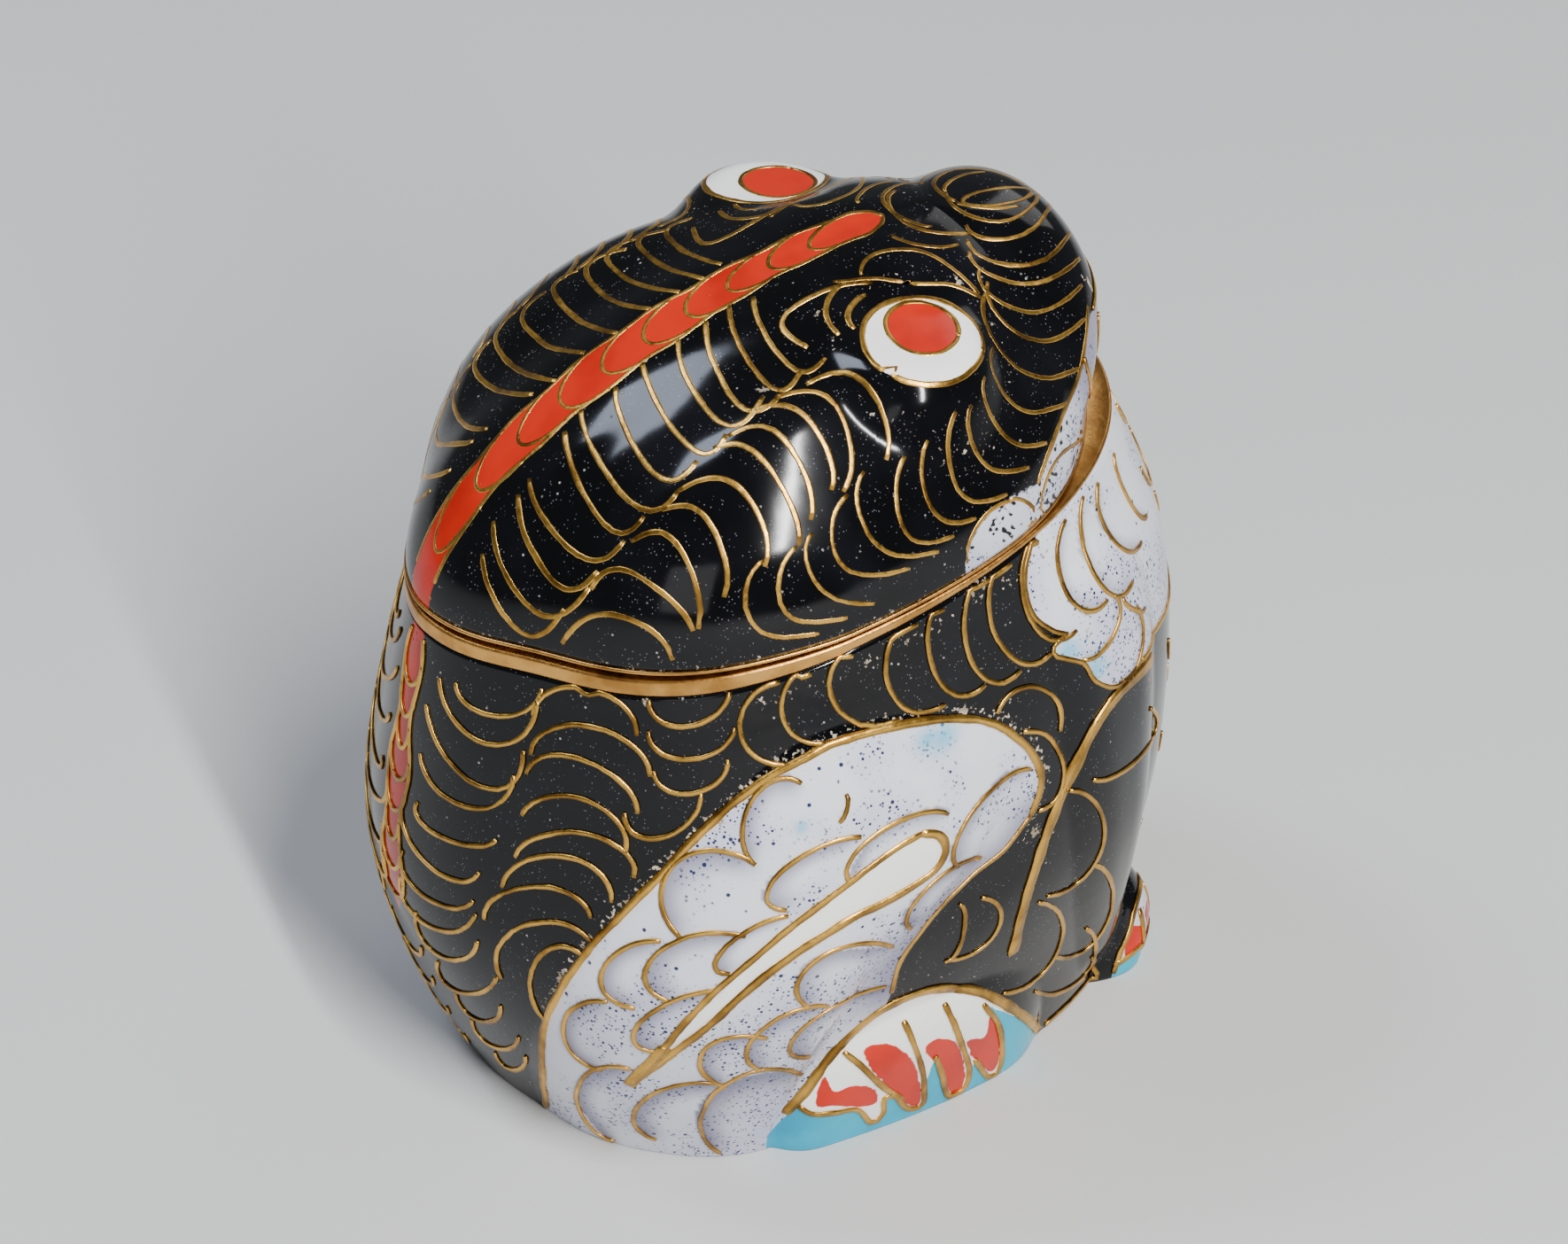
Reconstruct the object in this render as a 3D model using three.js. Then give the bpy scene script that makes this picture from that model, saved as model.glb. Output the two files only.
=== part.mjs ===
// A small lidded box in the form of a sitting frog: an enamelled copper body and lid,
// each finished at the mouth with a gilt brass rim.
// Millimetres, z up. The frog faces -y and its right side is -x. The origin is at the
// middle of the base, on the table.

import * as THREE from "three";

// Reach of the body from the middle of the mouth
const FRONT_REACH = 32.3;
const BACK_REACH = 22.8;
const SIDE_REACH = 22.3;

// Joint between body and lid: a plane that rises towards the front
const JOINT_HEIGHT = 41.4;
const JOINT_RISE_DEG = 10.5;

// Mouth outline, on the joint plane
const MOUTH_FRONT = 26.5;
const MOUTH_BACK = 20.8;
const MOUTH_SIDE = 19.2;
const MOUTH_CORNER_OUT = 0.6;
const MOUTH_CORNER_DEG = 122;
const MOUTH_CORNER_SPREAD_DEG = 15;
const MOUTH_DENT_IN = 0.5;
const MOUTH_DENT_DEG = 149;
const MOUTH_DENT_SPREAD_DEG = 12;

// Shells and rims
const WALL = 1.4;
const FLOOR = 1.6;
const SEAM = 0.05;
const BODY_RIM_HEIGHT = 1.2;
const LID_RIM_HEIGHT = 0.6;
const RIM_PROUD = 0.1;
const JOINT_GAP = 0.15;
const COLLAR_HEIGHT = 1.5;
const COLLAR_WALL = 0.6;
const COLLAR_CLEARANCE = 0.4;

// Ledge of the rim under the snout, and the degrees from the front where it ends and is full
const FRONT_LEDGE = 1.7;
const LEDGE_END_DEG = 66;
const LEDGE_FULL_DEG = 22;

// Lip, a swelling of the snout: its level, spread and lowest part are shares of the lid's height
const LIP_OUT = 0.9;
const LIP_END_DEG = 72;
const LIP_FULL_DEG = 26;
const LIP_LEVEL_SHARE = 0.5;
const LIP_SPREAD_SHARE = 0.36;
const LIP_RISE_SHARE = 0.3;

// Lid
const CROWN_HEIGHT = 58.6;
const CROWN_FORWARD = 15;
const EYE_FORWARD = 8.5;
const EYE_SIDE = 10.7;
const EYE_RADIUS = 4.9;
const EYE_BELOW_CROWN = 2.5;
const EYE_TILT_DEG = 7;
const SHOULDER_SIDE = 13.2;
const SHOULDER_RAISE = 0.5;
const SHOULDER_SPREAD = 4.2;
const FLANK_SIDE = 6.5;
const FLANK_HOLLOW = 0.7;
const FLANK_SPREAD = 3.4;
const CHEEK_HOLLOW = 0.3;
const CHEEK_FORWARD = 17.5;
const CHEEK_SIDE = 11;
const CHEEK_HALF_LENGTH = 5.5;
const CHEEK_HALF_WIDTH = 4.5;

// Forward positions between which shoulders and flanks begin behind the head, and between
// which the flanks end at the nape; and the share of the lid's height where relief is full
const HEAD_END = 8;
const BACK_START = -2;
const NAPE_START = -12;
const NAPE_END = -19;
const RELIEF_RISE_SHARE = 0.35;

// Raised limbs on the body
const THIGH_RAISE = 1.7;
const THIGH_GROOVE = 0.8;
const FORELEG_RAISE = 0.9;
const HIND_FOOT_RAISE = 1.3;
const FORE_FOOT_RAISE = 2.6;
const LIMB_BLEND = 0.3;
const LIMBS_END_SHARE = 1;
const LIMBS_FULL_SHARE = 0.93;

// Form of the body at five levels, from base to mouth: shares of its greatest reach
const LEVELS = [0, 0.12, 0.45, 0.78, 1];
const FRONT_SHARES = [0.938, 0.96, 1, 0.95];
const BACK_SHARES = [0.754, 0.851, 1, 0.965];
const SIDE_SHARES = [0.821, 0.865, 1, 0.969];

// Exponents of the superellipse outlines: 2 is an ellipse, less is more pointed
const FRONT_ROUNDNESS = 2.25;
const BACK_ROUNDNESS = [1.95, 1.95, 1.93, 1.82, 1.72];

// Exponents of the lid's profiles, every 45 degrees from the snout to the nape
const DOME_ROUNDNESS = [4.2, 1.75, 1.8, 1.92, 1.72];

// The side wall is laid out flat to place the limbs: this many units round half the body,
// from the breast to the spine, and this many from the base to the mouth
const LAYOUT_GIRTH = 68.4;
const LAYOUT_HEIGHT = 41;
const THIGH_BASE_SHARE = 0.55;
const THIGH_BASE_TALL = 9;
const GROOVE = { outside: 0.8, spread: 1.8, backEnd: 45, backFull: 36, topEnd: 30, topFull: 20 };
const THIGH = {
  start: [48.8, -3],
  bend: [45.5, 17],
  end: [36.8, 27],
  startRadius: 10.5,
  endRadius: 9.4,
  edge: 8,
};
const FORELEG = {
  start: [19.5, 33],
  bend: [20.5, 17],
  end: [15, 5],
  startRadius: 5,
  endRadius: 3.4,
  edge: 3.5,
};
const HIND_FOOT = { at: 30.3, half: 9, tall: 10.8, edge: 4 };
const FORE_FOOT = { at: 9.6, half: 5.4, tall: 5.6, edge: 4 };

// Facets
const AROUND = 84;
const BODY_ROWS = 18;
const BODY_INNER_ROWS = 7;
const LID_ROWS = 14;
const LID_INNER_ROWS = 6;
const LIMB_STEPS = 20;
const CROWD_TO_BASE = 1.25;

const DEG = Math.PI / 180;
const jointRise = Math.tan(JOINT_RISE_DEG * DEG);
const eyeTilt = Math.tan(EYE_TILT_DEG * DEG);
const bodyRimDrop = BODY_RIM_HEIGHT + SEAM;
const lidLift = JOINT_GAP + LID_RIM_HEIGHT + SEAM;

const clamp = (x) => Math.min(Math.max(x, 0), 1);
const mix = (a, b, k) => a + (b - a) * k;
const bell = (x, centre, width) => Math.exp(-(((x - centre) / width) ** 2));
const signedPower = (x, power) => Math.sign(x) * Math.abs(x) ** power;

// Smooth step from 0 at one value to 1 at the other, whichever is larger
function ease(x, zeroAt, oneAt) {
  const k = clamp((x - zeroAt) / (oneAt - zeroAt));
  return k * k * (3 - 2 * k);
}

// The larger of two values, with the corner between them rounded
function softMax(a, b, round) {
  return (a + b + Math.hypot(a - b, round) - round) / 2;
}

// Smooth curve through one value for each level
function throughLevels(values, t) {
  const last = LEVELS.length - 1;
  const slope = (i) => {
    if (i === 0) return (values[1] - values[0]) / (LEVELS[1] - LEVELS[0]);
    if (i === last) return (values[last] - values[last - 1]) / (LEVELS[last] - LEVELS[last - 1]);
    const before = LEVELS[i] - LEVELS[i - 1];
    const after = LEVELS[i + 1] - LEVELS[i];
    const down = (values[i] - values[i - 1]) / before;
    const up = (values[i + 1] - values[i]) / after;
    return (down * after + up * before) / (before + after);
  };
  let i = 0;
  while (i < last - 1 && t > LEVELS[i + 1]) i += 1;
  const span = LEVELS[i + 1] - LEVELS[i];
  const k = (t - LEVELS[i]) / span;
  const rise = (k ** 3 - 2 * k ** 2 + k) * span * slope(i) + (k ** 3 - k ** 2) * span * slope(i + 1);
  return mix(values[i], values[i + 1], k * k * (3 - 2 * k)) + rise;
}

const frontReaches = [...FRONT_SHARES.map((share) => share * FRONT_REACH), MOUTH_FRONT];
const backReaches = [...BACK_SHARES.map((share) => share * BACK_REACH), MOUTH_BACK];
const sideReaches = [...SIDE_SHARES.map((share) => share * SIDE_REACH), MOUTH_SIDE];

// Degrees from the breast, 0, to the spine, 180, the same on both sides
function degreesFromFront(theta) {
  return Math.acos(Math.min(Math.max(Math.cos(theta), -1), 1)) / DEG;
}

// Outline of the body at a level, as forward and rightward distances, moved outwards by
// `out`; the mouth's outline bends at a corner behind each flank
function outline(theta, t, out) {
  const c = Math.cos(theta);
  const s = Math.sin(theta);
  const length = throughLevels(c >= 0 ? frontReaches : backReaches, t);
  const side = throughLevels(sideReaches, t);
  const roundness = c >= 0 ? FRONT_ROUNDNESS : throughLevels(BACK_ROUNDNESS, t);
  const forward = length * signedPower(c, 2 / roundness);
  const right = side * signedPower(s, 2 / roundness);
  const normal = new THREE.Vector2(forward / length ** 2, right / side ** 2).normalize();
  const around = degreesFromFront(theta);
  const corner = MOUTH_CORNER_OUT * bell(around, MOUTH_CORNER_DEG, MOUTH_CORNER_SPREAD_DEG);
  const dent = MOUTH_DENT_IN * bell(around, MOUTH_DENT_DEG, MOUTH_DENT_SPREAD_DEG);
  const shift = t * t * (corner - dent) + out;
  return new THREE.Vector2(forward, right).addScaledVector(normal, shift);
}

// Signed distance in the layout to a limb with a bent axis and a radius that changes evenly
function limbDistance(u, v, limb) {
  const curve = new THREE.QuadraticBezierCurve(
    new THREE.Vector2(...limb.start),
    new THREE.Vector2(...limb.bend),
    new THREE.Vector2(...limb.end),
  );
  let nearest = Infinity;
  for (let i = 0; i <= LIMB_STEPS; i += 1) {
    const k = i / LIMB_STEPS;
    const p = curve.getPoint(k);
    const radius = mix(limb.startRadius, limb.endRadius, k);
    nearest = Math.min(nearest, Math.hypot(u - p.x, v - p.y) - radius);
  }
  return nearest;
}

// Signed distance in the layout to a foot, half an oval that stands on the base
function footDistance(u, v, foot) {
  return (Math.hypot((u - foot.at) / foot.half, v / foot.tall) - 1) * Math.min(foot.half, foot.tall);
}

// A pillow's share of its height: 0 at the outline, 1 from `edge` inside it
function pillow(distance, edge) {
  const k = clamp(-distance / edge);
  return k * (2 - k);
}

// How far thigh, foreleg and feet stand out of the side wall
function limbRelief(theta, t) {
  const u = (LAYOUT_GIRTH * degreesFromFront(theta)) / 180;
  const v = LAYOUT_HEIGHT * t;
  const thighDistance = limbDistance(u, v, THIGH);
  const aboveBase = mix(THIGH_BASE_SHARE, 1, ease(v, 0, THIGH_BASE_TALL));
  const thigh = THIGH_RAISE * pillow(thighDistance, THIGH.edge) * aboveBase;
  const inFront = ease(u, GROOVE.backEnd, GROOVE.backFull) * ease(v, GROOVE.topEnd, GROOVE.topFull);
  const groove = THIGH_GROOVE * bell(thighDistance, GROOVE.outside, GROOVE.spread) * inFront;
  const foreleg = FORELEG_RAISE * pillow(limbDistance(u, v, FORELEG), FORELEG.edge);
  const hindFoot = HIND_FOOT_RAISE * pillow(footDistance(u, v, HIND_FOOT), HIND_FOOT.edge);
  const foreFoot = FORE_FOOT_RAISE * pillow(footDistance(u, v, FORE_FOOT), FORE_FOOT.edge);
  const limbs = softMax(thigh - groove + foreleg, hindFoot, LIMB_BLEND) + foreFoot;
  return limbs * ease(t, LIMBS_END_SHARE, LIMBS_FULL_SHARE);
}

const jointHeight = (forward) => JOINT_HEIGHT + jointRise * forward;
const place = (forward, right, z) => new THREE.Vector3(-right, -forward, z);

// Point of the body's skin, or of its lining when inset by the wall; t runs from the base,
// or from the floor, to the underside of the rim
function bodyPoint(theta, t, inset, bottom) {
  const p = outline(theta, mix(bottom / JOINT_HEIGHT, 1, t), limbRelief(theta, t) - inset);
  return place(p.x, p.y, mix(bottom, jointHeight(p.x) - bodyRimDrop, t));
}

// Lower edge of the lid, set back from the mouth's outline by a ledge under the snout
function lidEdge(theta, inset) {
  const ledge = FRONT_LEDGE * ease(degreesFromFront(theta), LEDGE_END_DEG, LEDGE_FULL_DEG);
  return outline(theta, 1, -ledge - inset);
}

// Exponent of the lid's profile in one direction
function domeRoundness(theta) {
  const sector = degreesFromFront(theta) / 45;
  const i = Math.min(Math.floor(sector), DOME_ROUNDNESS.length - 2);
  return mix(DOME_ROUNDNESS[i], DOME_ROUNDNESS[i + 1], ease(sector - i, 0, 1));
}

// How far the lid's shoulders, flanks and cheeks leave the plain dome
function lidRelief(forward, aside) {
  const behind = ease(forward, HEAD_END, BACK_START);
  const beforeNape = ease(forward, NAPE_END, NAPE_START);
  const shoulder = SHOULDER_RAISE * bell(aside, SHOULDER_SIDE, SHOULDER_SPREAD) * behind;
  const flank = FLANK_HOLLOW * bell(aside, FLANK_SIDE, FLANK_SPREAD) * behind * beforeNape;
  const cheekForward = (forward - CHEEK_FORWARD) / CHEEK_HALF_LENGTH;
  const cheekAside = (aside - CHEEK_SIDE) / CHEEK_HALF_WIDTH;
  const cheek = CHEEK_HOLLOW * bell(Math.hypot(cheekForward, cheekAside), 0, 1);
  return shoulder - flank - cheek;
}

// Share of the flat eye at a place on the lid: one on the eye, falling steeply at its edge
function eyeShare(forward, aside) {
  const fromEye = Math.hypot(forward - EYE_FORWARD, aside - EYE_SIDE);
  return Math.exp(-((fromEye / EYE_RADIUS) ** 6));
}

// Point of the lid's skin, or of its lining when inset by the wall; t runs from the edge to
// the crown
function lidPoint(theta, t, inset) {
  const edge = lidEdge(theta, inset);
  const n = domeRoundness(theta);
  const angle = (t * Math.PI) / 2;
  const scale = (Math.cos(angle) ** n + Math.sin(angle) ** n) ** (-1 / n);
  const up = Math.sin(angle) * scale;
  const lipAround = ease(degreesFromFront(theta), LIP_END_DEG, LIP_FULL_DEG);
  const lip = LIP_OUT * lipAround * bell(up, LIP_LEVEL_SHARE, LIP_SPREAD_SHARE) * ease(up, 0, LIP_RISE_SHARE);
  const out = Math.cos(angle) * scale * (1 + lip / Math.hypot(edge.x - CROWN_FORWARD, edge.y));
  const forward = mix(CROWN_FORWARD, edge.x, out);
  const right = edge.y * out;
  const bottom = jointHeight(edge.x) + lidLift;
  const aside = Math.abs(right);
  const above = ease(up, 0, RELIEF_RISE_SHARE);
  const dome = mix(bottom, CROWN_HEIGHT - inset, up) + lidRelief(forward, aside) * above;
  const eyeLevel = CROWN_HEIGHT - EYE_BELOW_CROWN - inset - eyeTilt * (aside - EYE_SIDE);
  return place(forward, right, mix(dome, eyeLevel, eyeShare(forward, aside) * above));
}

const angles = Array.from({ length: AROUND }, (_, i) => (2 * Math.PI * i) / AROUND);
const shares = (rows) => Array.from({ length: rows + 1 }, (_, i) => i / rows);

// Stitches rings of points into one closed skin. A ring of one point is the tip of a fan;
// rings without tips at both ends close on themselves. Points go round to the frog's right,
// and each next ring lies to the outside of the travel, so the faces look out.
function skin(rings) {
  const points = [];
  const starts = rings.map((ring) => points.push(...ring) - ring.length);
  const index = [];
  const closed = rings[0].length > 1;
  const pairs = closed ? rings.length : rings.length - 1;
  for (let j = 0; j < pairs; j += 1) {
    const lower = starts[j];
    const upper = starts[(j + 1) % rings.length];
    const lowerTip = rings[j].length === 1;
    const upperTip = rings[(j + 1) % rings.length].length === 1;
    for (let i = 0; i < AROUND; i += 1) {
      const next = (i + 1) % AROUND;
      const a = lowerTip ? lower : lower + i;
      const b = lowerTip ? lower : lower + next;
      const c = upperTip ? upper : upper + next;
      const d = upperTip ? upper : upper + i;
      if (!lowerTip) index.push(a, c, b);
      if (!upperTip) index.push(a, d, c);
    }
  }
  const geometry = new THREE.BufferGeometry().setFromPoints(points);
  geometry.setIndex(index);
  geometry.computeVertexNormals();
  return geometry;
}

// Ring of rim points: `edge` gives the outline, `height` is above the joint plane
function rimRing(edge, height) {
  return angles.map((theta) => {
    const p = edge(theta);
    return place(p.x, p.y, jointHeight(p.x) + height);
  });
}

function bodyShell() {
  const outerLevels = shares(BODY_ROWS).map((t) => t ** CROWD_TO_BASE);
  const outer = outerLevels.map((t) => angles.map((theta) => bodyPoint(theta, t, 0, 0)));
  const inner = shares(BODY_INNER_ROWS).map((t) => angles.map((theta) => bodyPoint(theta, t, WALL, FLOOR)));
  return skin([[place(0, 0, 0)], ...outer, ...inner.reverse(), [place(0, 0, FLOOR)]]);
}

function lidShell() {
  const rows = (count, inset) => {
    const open = shares(count).slice(0, -1);
    return [...open.map((t) => angles.map((theta) => lidPoint(theta, t, inset))), [lidPoint(0, 1, inset)]];
  };
  return skin([...rows(LID_INNER_ROWS, WALL).reverse(), ...rows(LID_ROWS, 0)]);
}

// Flat gilt band round the mouth, with a collar inside it that keeps the lid in place
function bodyRim() {
  const outside = (theta) => outline(theta, 1, RIM_PROUD);
  const collarOutside = (theta) => lidEdge(theta, WALL + COLLAR_CLEARANCE);
  const collarInside = (theta) => lidEdge(theta, WALL + COLLAR_CLEARANCE + COLLAR_WALL);
  return skin([
    rimRing(outside, -BODY_RIM_HEIGHT),
    rimRing(outside, 0),
    rimRing(collarOutside, 0),
    rimRing(collarOutside, COLLAR_HEIGHT),
    rimRing(collarInside, COLLAR_HEIGHT),
    rimRing(collarInside, -BODY_RIM_HEIGHT),
  ]);
}

// Thin gilt edge round the lid
function lidRim() {
  const outside = (theta) => lidEdge(theta, -RIM_PROUD);
  const inside = (theta) => lidEdge(theta, WALL);
  return skin([
    rimRing(outside, JOINT_GAP),
    rimRing(outside, JOINT_GAP + LID_RIM_HEIGHT),
    rimRing(inside, JOINT_GAP + LID_RIM_HEIGHT),
    rimRing(inside, JOINT_GAP),
  ]);
}

const enamel = { color: 0x0c0c0f, roughness: 0.12, metalness: 0 };
const giltBrass = { color: 0xc08a45, roughness: 0.35, metalness: 1 };

const part = new THREE.Group();

function addPiece(name, geometry, finish) {
  const mesh = new THREE.Mesh(geometry, new THREE.MeshStandardMaterial(finish));
  mesh.name = name;
  part.add(mesh);
}

addPiece("body", bodyShell(), enamel);
addPiece("body_rim", bodyRim(), giltBrass);
addPiece("lid", lidShell(), enamel);
addPiece("lid_rim", lidRim(), giltBrass);

// The snout side reaches further than the back, so the whole is moved to centre it
const box = new THREE.Box3().setFromObject(part);
part.position.y = -(box.min.y + box.max.y) / 2;

export default part;
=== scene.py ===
# %% [markdown]
# # A cloisonne enamel box in the shape of a sitting frog
# The real box is a thin copper shell in two parts, a body and a lift-off lid. Flat wires are
# bent into scales and soldered on edge, each cell is filled with ground glass, and the whole is
# fired and polished until wires and enamel are level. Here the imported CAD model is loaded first,
# because it fixes where everything is; what this file adds is the finish and the fine relief.

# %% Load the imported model
import bpy
import numpy as np
from mathutils import Matrix, Vector


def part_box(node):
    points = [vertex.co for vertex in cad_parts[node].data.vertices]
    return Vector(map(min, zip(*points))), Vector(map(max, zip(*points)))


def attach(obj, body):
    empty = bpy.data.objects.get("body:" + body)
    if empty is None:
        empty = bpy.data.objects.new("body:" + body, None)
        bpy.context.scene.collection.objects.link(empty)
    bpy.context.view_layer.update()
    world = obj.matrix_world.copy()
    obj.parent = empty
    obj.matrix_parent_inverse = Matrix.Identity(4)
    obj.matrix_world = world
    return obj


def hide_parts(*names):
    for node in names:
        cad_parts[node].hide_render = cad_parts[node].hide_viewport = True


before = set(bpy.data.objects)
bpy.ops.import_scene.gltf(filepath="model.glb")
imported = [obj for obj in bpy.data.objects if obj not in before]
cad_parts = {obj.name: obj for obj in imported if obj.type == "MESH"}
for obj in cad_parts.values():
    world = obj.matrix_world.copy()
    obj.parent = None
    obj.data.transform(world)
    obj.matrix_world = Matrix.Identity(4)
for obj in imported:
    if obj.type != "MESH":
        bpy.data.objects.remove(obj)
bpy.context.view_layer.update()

MM = 0.001

# %% [markdown]
# ## The frog's form
# The shells in the CAD model are coarse, so their gloss would show facets. The same form is
# worked out again here as smooth functions, from the same named sizes. A level of the body is a
# superellipse: an oval whose power makes it squarer or more pointed. It changes from the base to
# the mouth, and low pillows on it are the thigh, foreleg and feet.

# %% Sizes of the form, in millimetres
FRONT_REACH, BACK_REACH, SIDE_REACH = 32.3, 22.8, 22.3
JOINT_HEIGHT, JOINT_RISE = 41.4, np.tan(np.radians(10.5))
MOUTH_FRONT, MOUTH_BACK, MOUTH_SIDE = 26.5, 20.8, 19.2
MOUTH_CORNER_OUT, MOUTH_DENT_IN = 0.6, 0.5
WALL, FLOOR, SEAM = 1.4, 1.6, 0.05
BODY_RIM_HEIGHT, RIM_PROUD = 1.2, 0.1
COLLAR_HEIGHT, COLLAR_WALL, COLLAR_CLEARANCE, FRONT_LEDGE = 1.5, 0.6, 0.4, 1.7
CROWN_HEIGHT, CROWN_FORWARD, LIP_OUT = 58.6, 15.0, 0.9
EYE_FORWARD, EYE_SIDE, EYE_RADIUS = 8.5, 10.7, 4.9
EYE_BELOW_CROWN, EYE_TILT = 2.5, np.tan(np.radians(7))
SHOULDER_RAISE, FLANK_HOLLOW, CHEEK_HOLLOW = 0.5, 0.7, 0.3
THIGH_RAISE, THIGH_GROOVE, FORELEG_RAISE, HIND_FOOT_RAISE, FORE_FOOT_RAISE = 1.7, 0.8, 0.9, 1.3, 2.6
LEVELS = np.array([0, 0.12, 0.45, 0.78, 1])
FRONTS = np.array([0.938, 0.96, 1, 0.95, MOUTH_FRONT / FRONT_REACH]) * FRONT_REACH
BACKS = np.array([0.754, 0.851, 1, 0.965, MOUTH_BACK / BACK_REACH]) * BACK_REACH
SIDES = np.array([0.821, 0.865, 1, 0.969, MOUTH_SIDE / SIDE_REACH]) * SIDE_REACH
FRONT_ROUNDNESS = 2.25
BACK_ROUNDNESS = np.array([1.95, 1.95, 1.93, 1.82, 1.72])
DOME_ROUNDNESS = np.array([4.2, 1.75, 1.8, 1.92, 1.72])
GIRTH, HEIGHT = 68.4, 41.0
BAND_FRONT = 0.5
GAP_FRONT, GAP_BACK, LID_LINE = 0.2, 0.48, 0.24

# Where a form begins and is full: degrees from the breast, shares of height, or millimetres
LEDGE_AROUND, LIP_AROUND, BAND_AROUND, GAP_AROUND = (66, 22), (72, 26), (62, 122), (75, 135)
LIP_RISE, RELIEF_RISE, LIMBS_END = (0, 0.3), (0, 0.35), (1, 0.93)
BEHIND_HEAD, BEFORE_NAPE, THIGH_BASE = (8, -2), (-19, -12), (0, 9)
GROOVE_FRONT, GROOVE_LOW = (45, 36), (30, 20)

# Where a form lies and how far it spreads
MOUTH_CORNER, MOUTH_DENT, LIP_LEVEL, THIGH_SIDE = (122, 15), (149, 12), (0.5, 0.36), (0.8, 1.8)
SHOULDER, FLANK, CHEEK_FORWARD, CHEEK_ASIDE = (13.2, 4.2), (6.5, 3.4), (17.5, 5.5), (11, 4.5)
THIGH_EDGE, FORELEG_EDGE, FOOT_EDGE, LIMB_BLEND, THIGH_BASE_SHARE = 8, 3.5, 4, 0.3, 0.55
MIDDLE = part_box("body_rim")[1][1] / MM - (MOUTH_BACK + RIM_PROUD)
print("the crown's own middle lies", round(MIDDLE, 2), "mm behind the frame's origin")


# %% Blending helpers
def mix(a, b, k):
    """The value a share k of the way from a to b."""
    return a + (b - a) * k


def bell(x, centre, width):
    """A smooth bump of height one at the centre."""
    return np.exp(-((x - centre) / width) ** 2)


def ease(x, zero_at, one_at):
    """A smooth step from zero to one."""
    k = np.clip((x - zero_at) / (one_at - zero_at), 0, 1)
    return k * k * (3 - 2 * k)


def signed_power(x, p):
    """A power that keeps the sign, as a superellipse needs."""
    return np.sign(x) * np.abs(x) ** p


def soft_max(a, b, r):
    """The larger of two, with the corner between them rounded by r."""
    return (a + b + np.hypot(a - b, r) - r) / 2


def through_levels(values, t):
    """A smooth curve through one value per level, cubic between each two."""
    slope = np.gradient(values, LEVELS)
    i = np.clip(np.searchsorted(LEVELS, t, side="left") - 1, 0, len(LEVELS) - 2)
    span = LEVELS[i + 1] - LEVELS[i]
    k = (t - LEVELS[i]) / span
    rise = (k**3 - 2 * k**2 + k) * span * slope[i] + (k**3 - k**2) * span * slope[i + 1]
    return mix(values[i], values[i + 1], k * k * (3 - 2 * k)) + rise


def from_front(theta):
    """Degrees from the breast, 0 to 180, the same on both sides."""
    return np.degrees(np.arccos(np.clip(np.cos(theta), -1, 1)))


# %% [markdown]
# ## Limbs as distances
# A thigh in enamelled copper is pushed out from inside, so it has no edge of its own, only a
# slope. A distance from a bent line gives that: inside the limb the height climbs over a few
# millimetres and then levels off. Distances are measured on the side wall laid out flat, u along
# the girth from the breast and v up the wall.

# %% Limbs on the laid-out side wall
def bent(start, bend, end, n=10):
    """Points along a quadratic curve from start to end, pulled towards bend."""
    k = np.linspace(0, 1, n + 1)[:, None]
    return (1 - k) ** 2 * np.array(start) + 2 * k * (1 - k) * np.array(bend) + k**2 * np.array(end)


THIGH = (bent((48.8, -3), (45.5, 17), (36.8, 27)), 10.5, 9.4)
FORELEG = (bent((19.5, 33), (20.5, 17), (15, 5)), 5, 3.4)
HIND_FOOT, FORE_FOOT = (30.3, 9, 10.8), (9.6, 5.4, 5.6)


def limb_distance(u, v, limb):
    """Distance outside a bent limb, less than zero inside; its radius changes evenly along it."""
    axis, r0, r1 = limb
    best = np.full(np.broadcast(u, v).shape, np.inf)
    for i, (a, b) in enumerate(zip(axis[:-1], axis[1:])):
        along = b - a
        k = np.clip(((u - a[0]) * along[0] + (v - a[1]) * along[1]) / (along @ along), 0, 1)
        radius = mix(r0, r1, (i + k) / (len(axis) - 1))
        best = np.minimum(best, np.hypot(u - a[0] - k * along[0], v - a[1] - k * along[1]) - radius)
    return best


def foot_distance(u, v, foot):
    """The same for a half oval that stands on the base."""
    return (np.hypot((u - foot[0]) / foot[1], v / foot[2]) - 1) * min(foot[1:])


def pillow(d, edge):
    """Height from zero at the limb's edge to one, levelling off over edge millimetres."""
    k = np.clip(-d / edge, 0, 1)
    return k * (2 - k)


def limb_relief(theta, t):
    """How far thigh, foreleg and feet stand out of the belly, and the groove beside the thigh."""
    u, v = GIRTH * from_front(theta) / 180, HEIGHT * t
    d = limb_distance(u, v, THIGH)
    thigh = THIGH_RAISE * pillow(d, THIGH_EDGE) * mix(THIGH_BASE_SHARE, 1, ease(v, *THIGH_BASE))
    groove = THIGH_GROOVE * bell(d, *THIGH_SIDE) * ease(u, *GROOVE_FRONT) * ease(v, *GROOVE_LOW)
    foreleg = FORELEG_RAISE * pillow(limb_distance(u, v, FORELEG), FORELEG_EDGE)
    hind = HIND_FOOT_RAISE * pillow(foot_distance(u, v, HIND_FOOT), FOOT_EDGE)
    fore = FORE_FOOT_RAISE * pillow(foot_distance(u, v, FORE_FOOT), FOOT_EDGE)
    return (soft_max(thigh - groove + foreleg, hind, LIMB_BLEND) + fore) * ease(t, *LIMBS_END)


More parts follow.
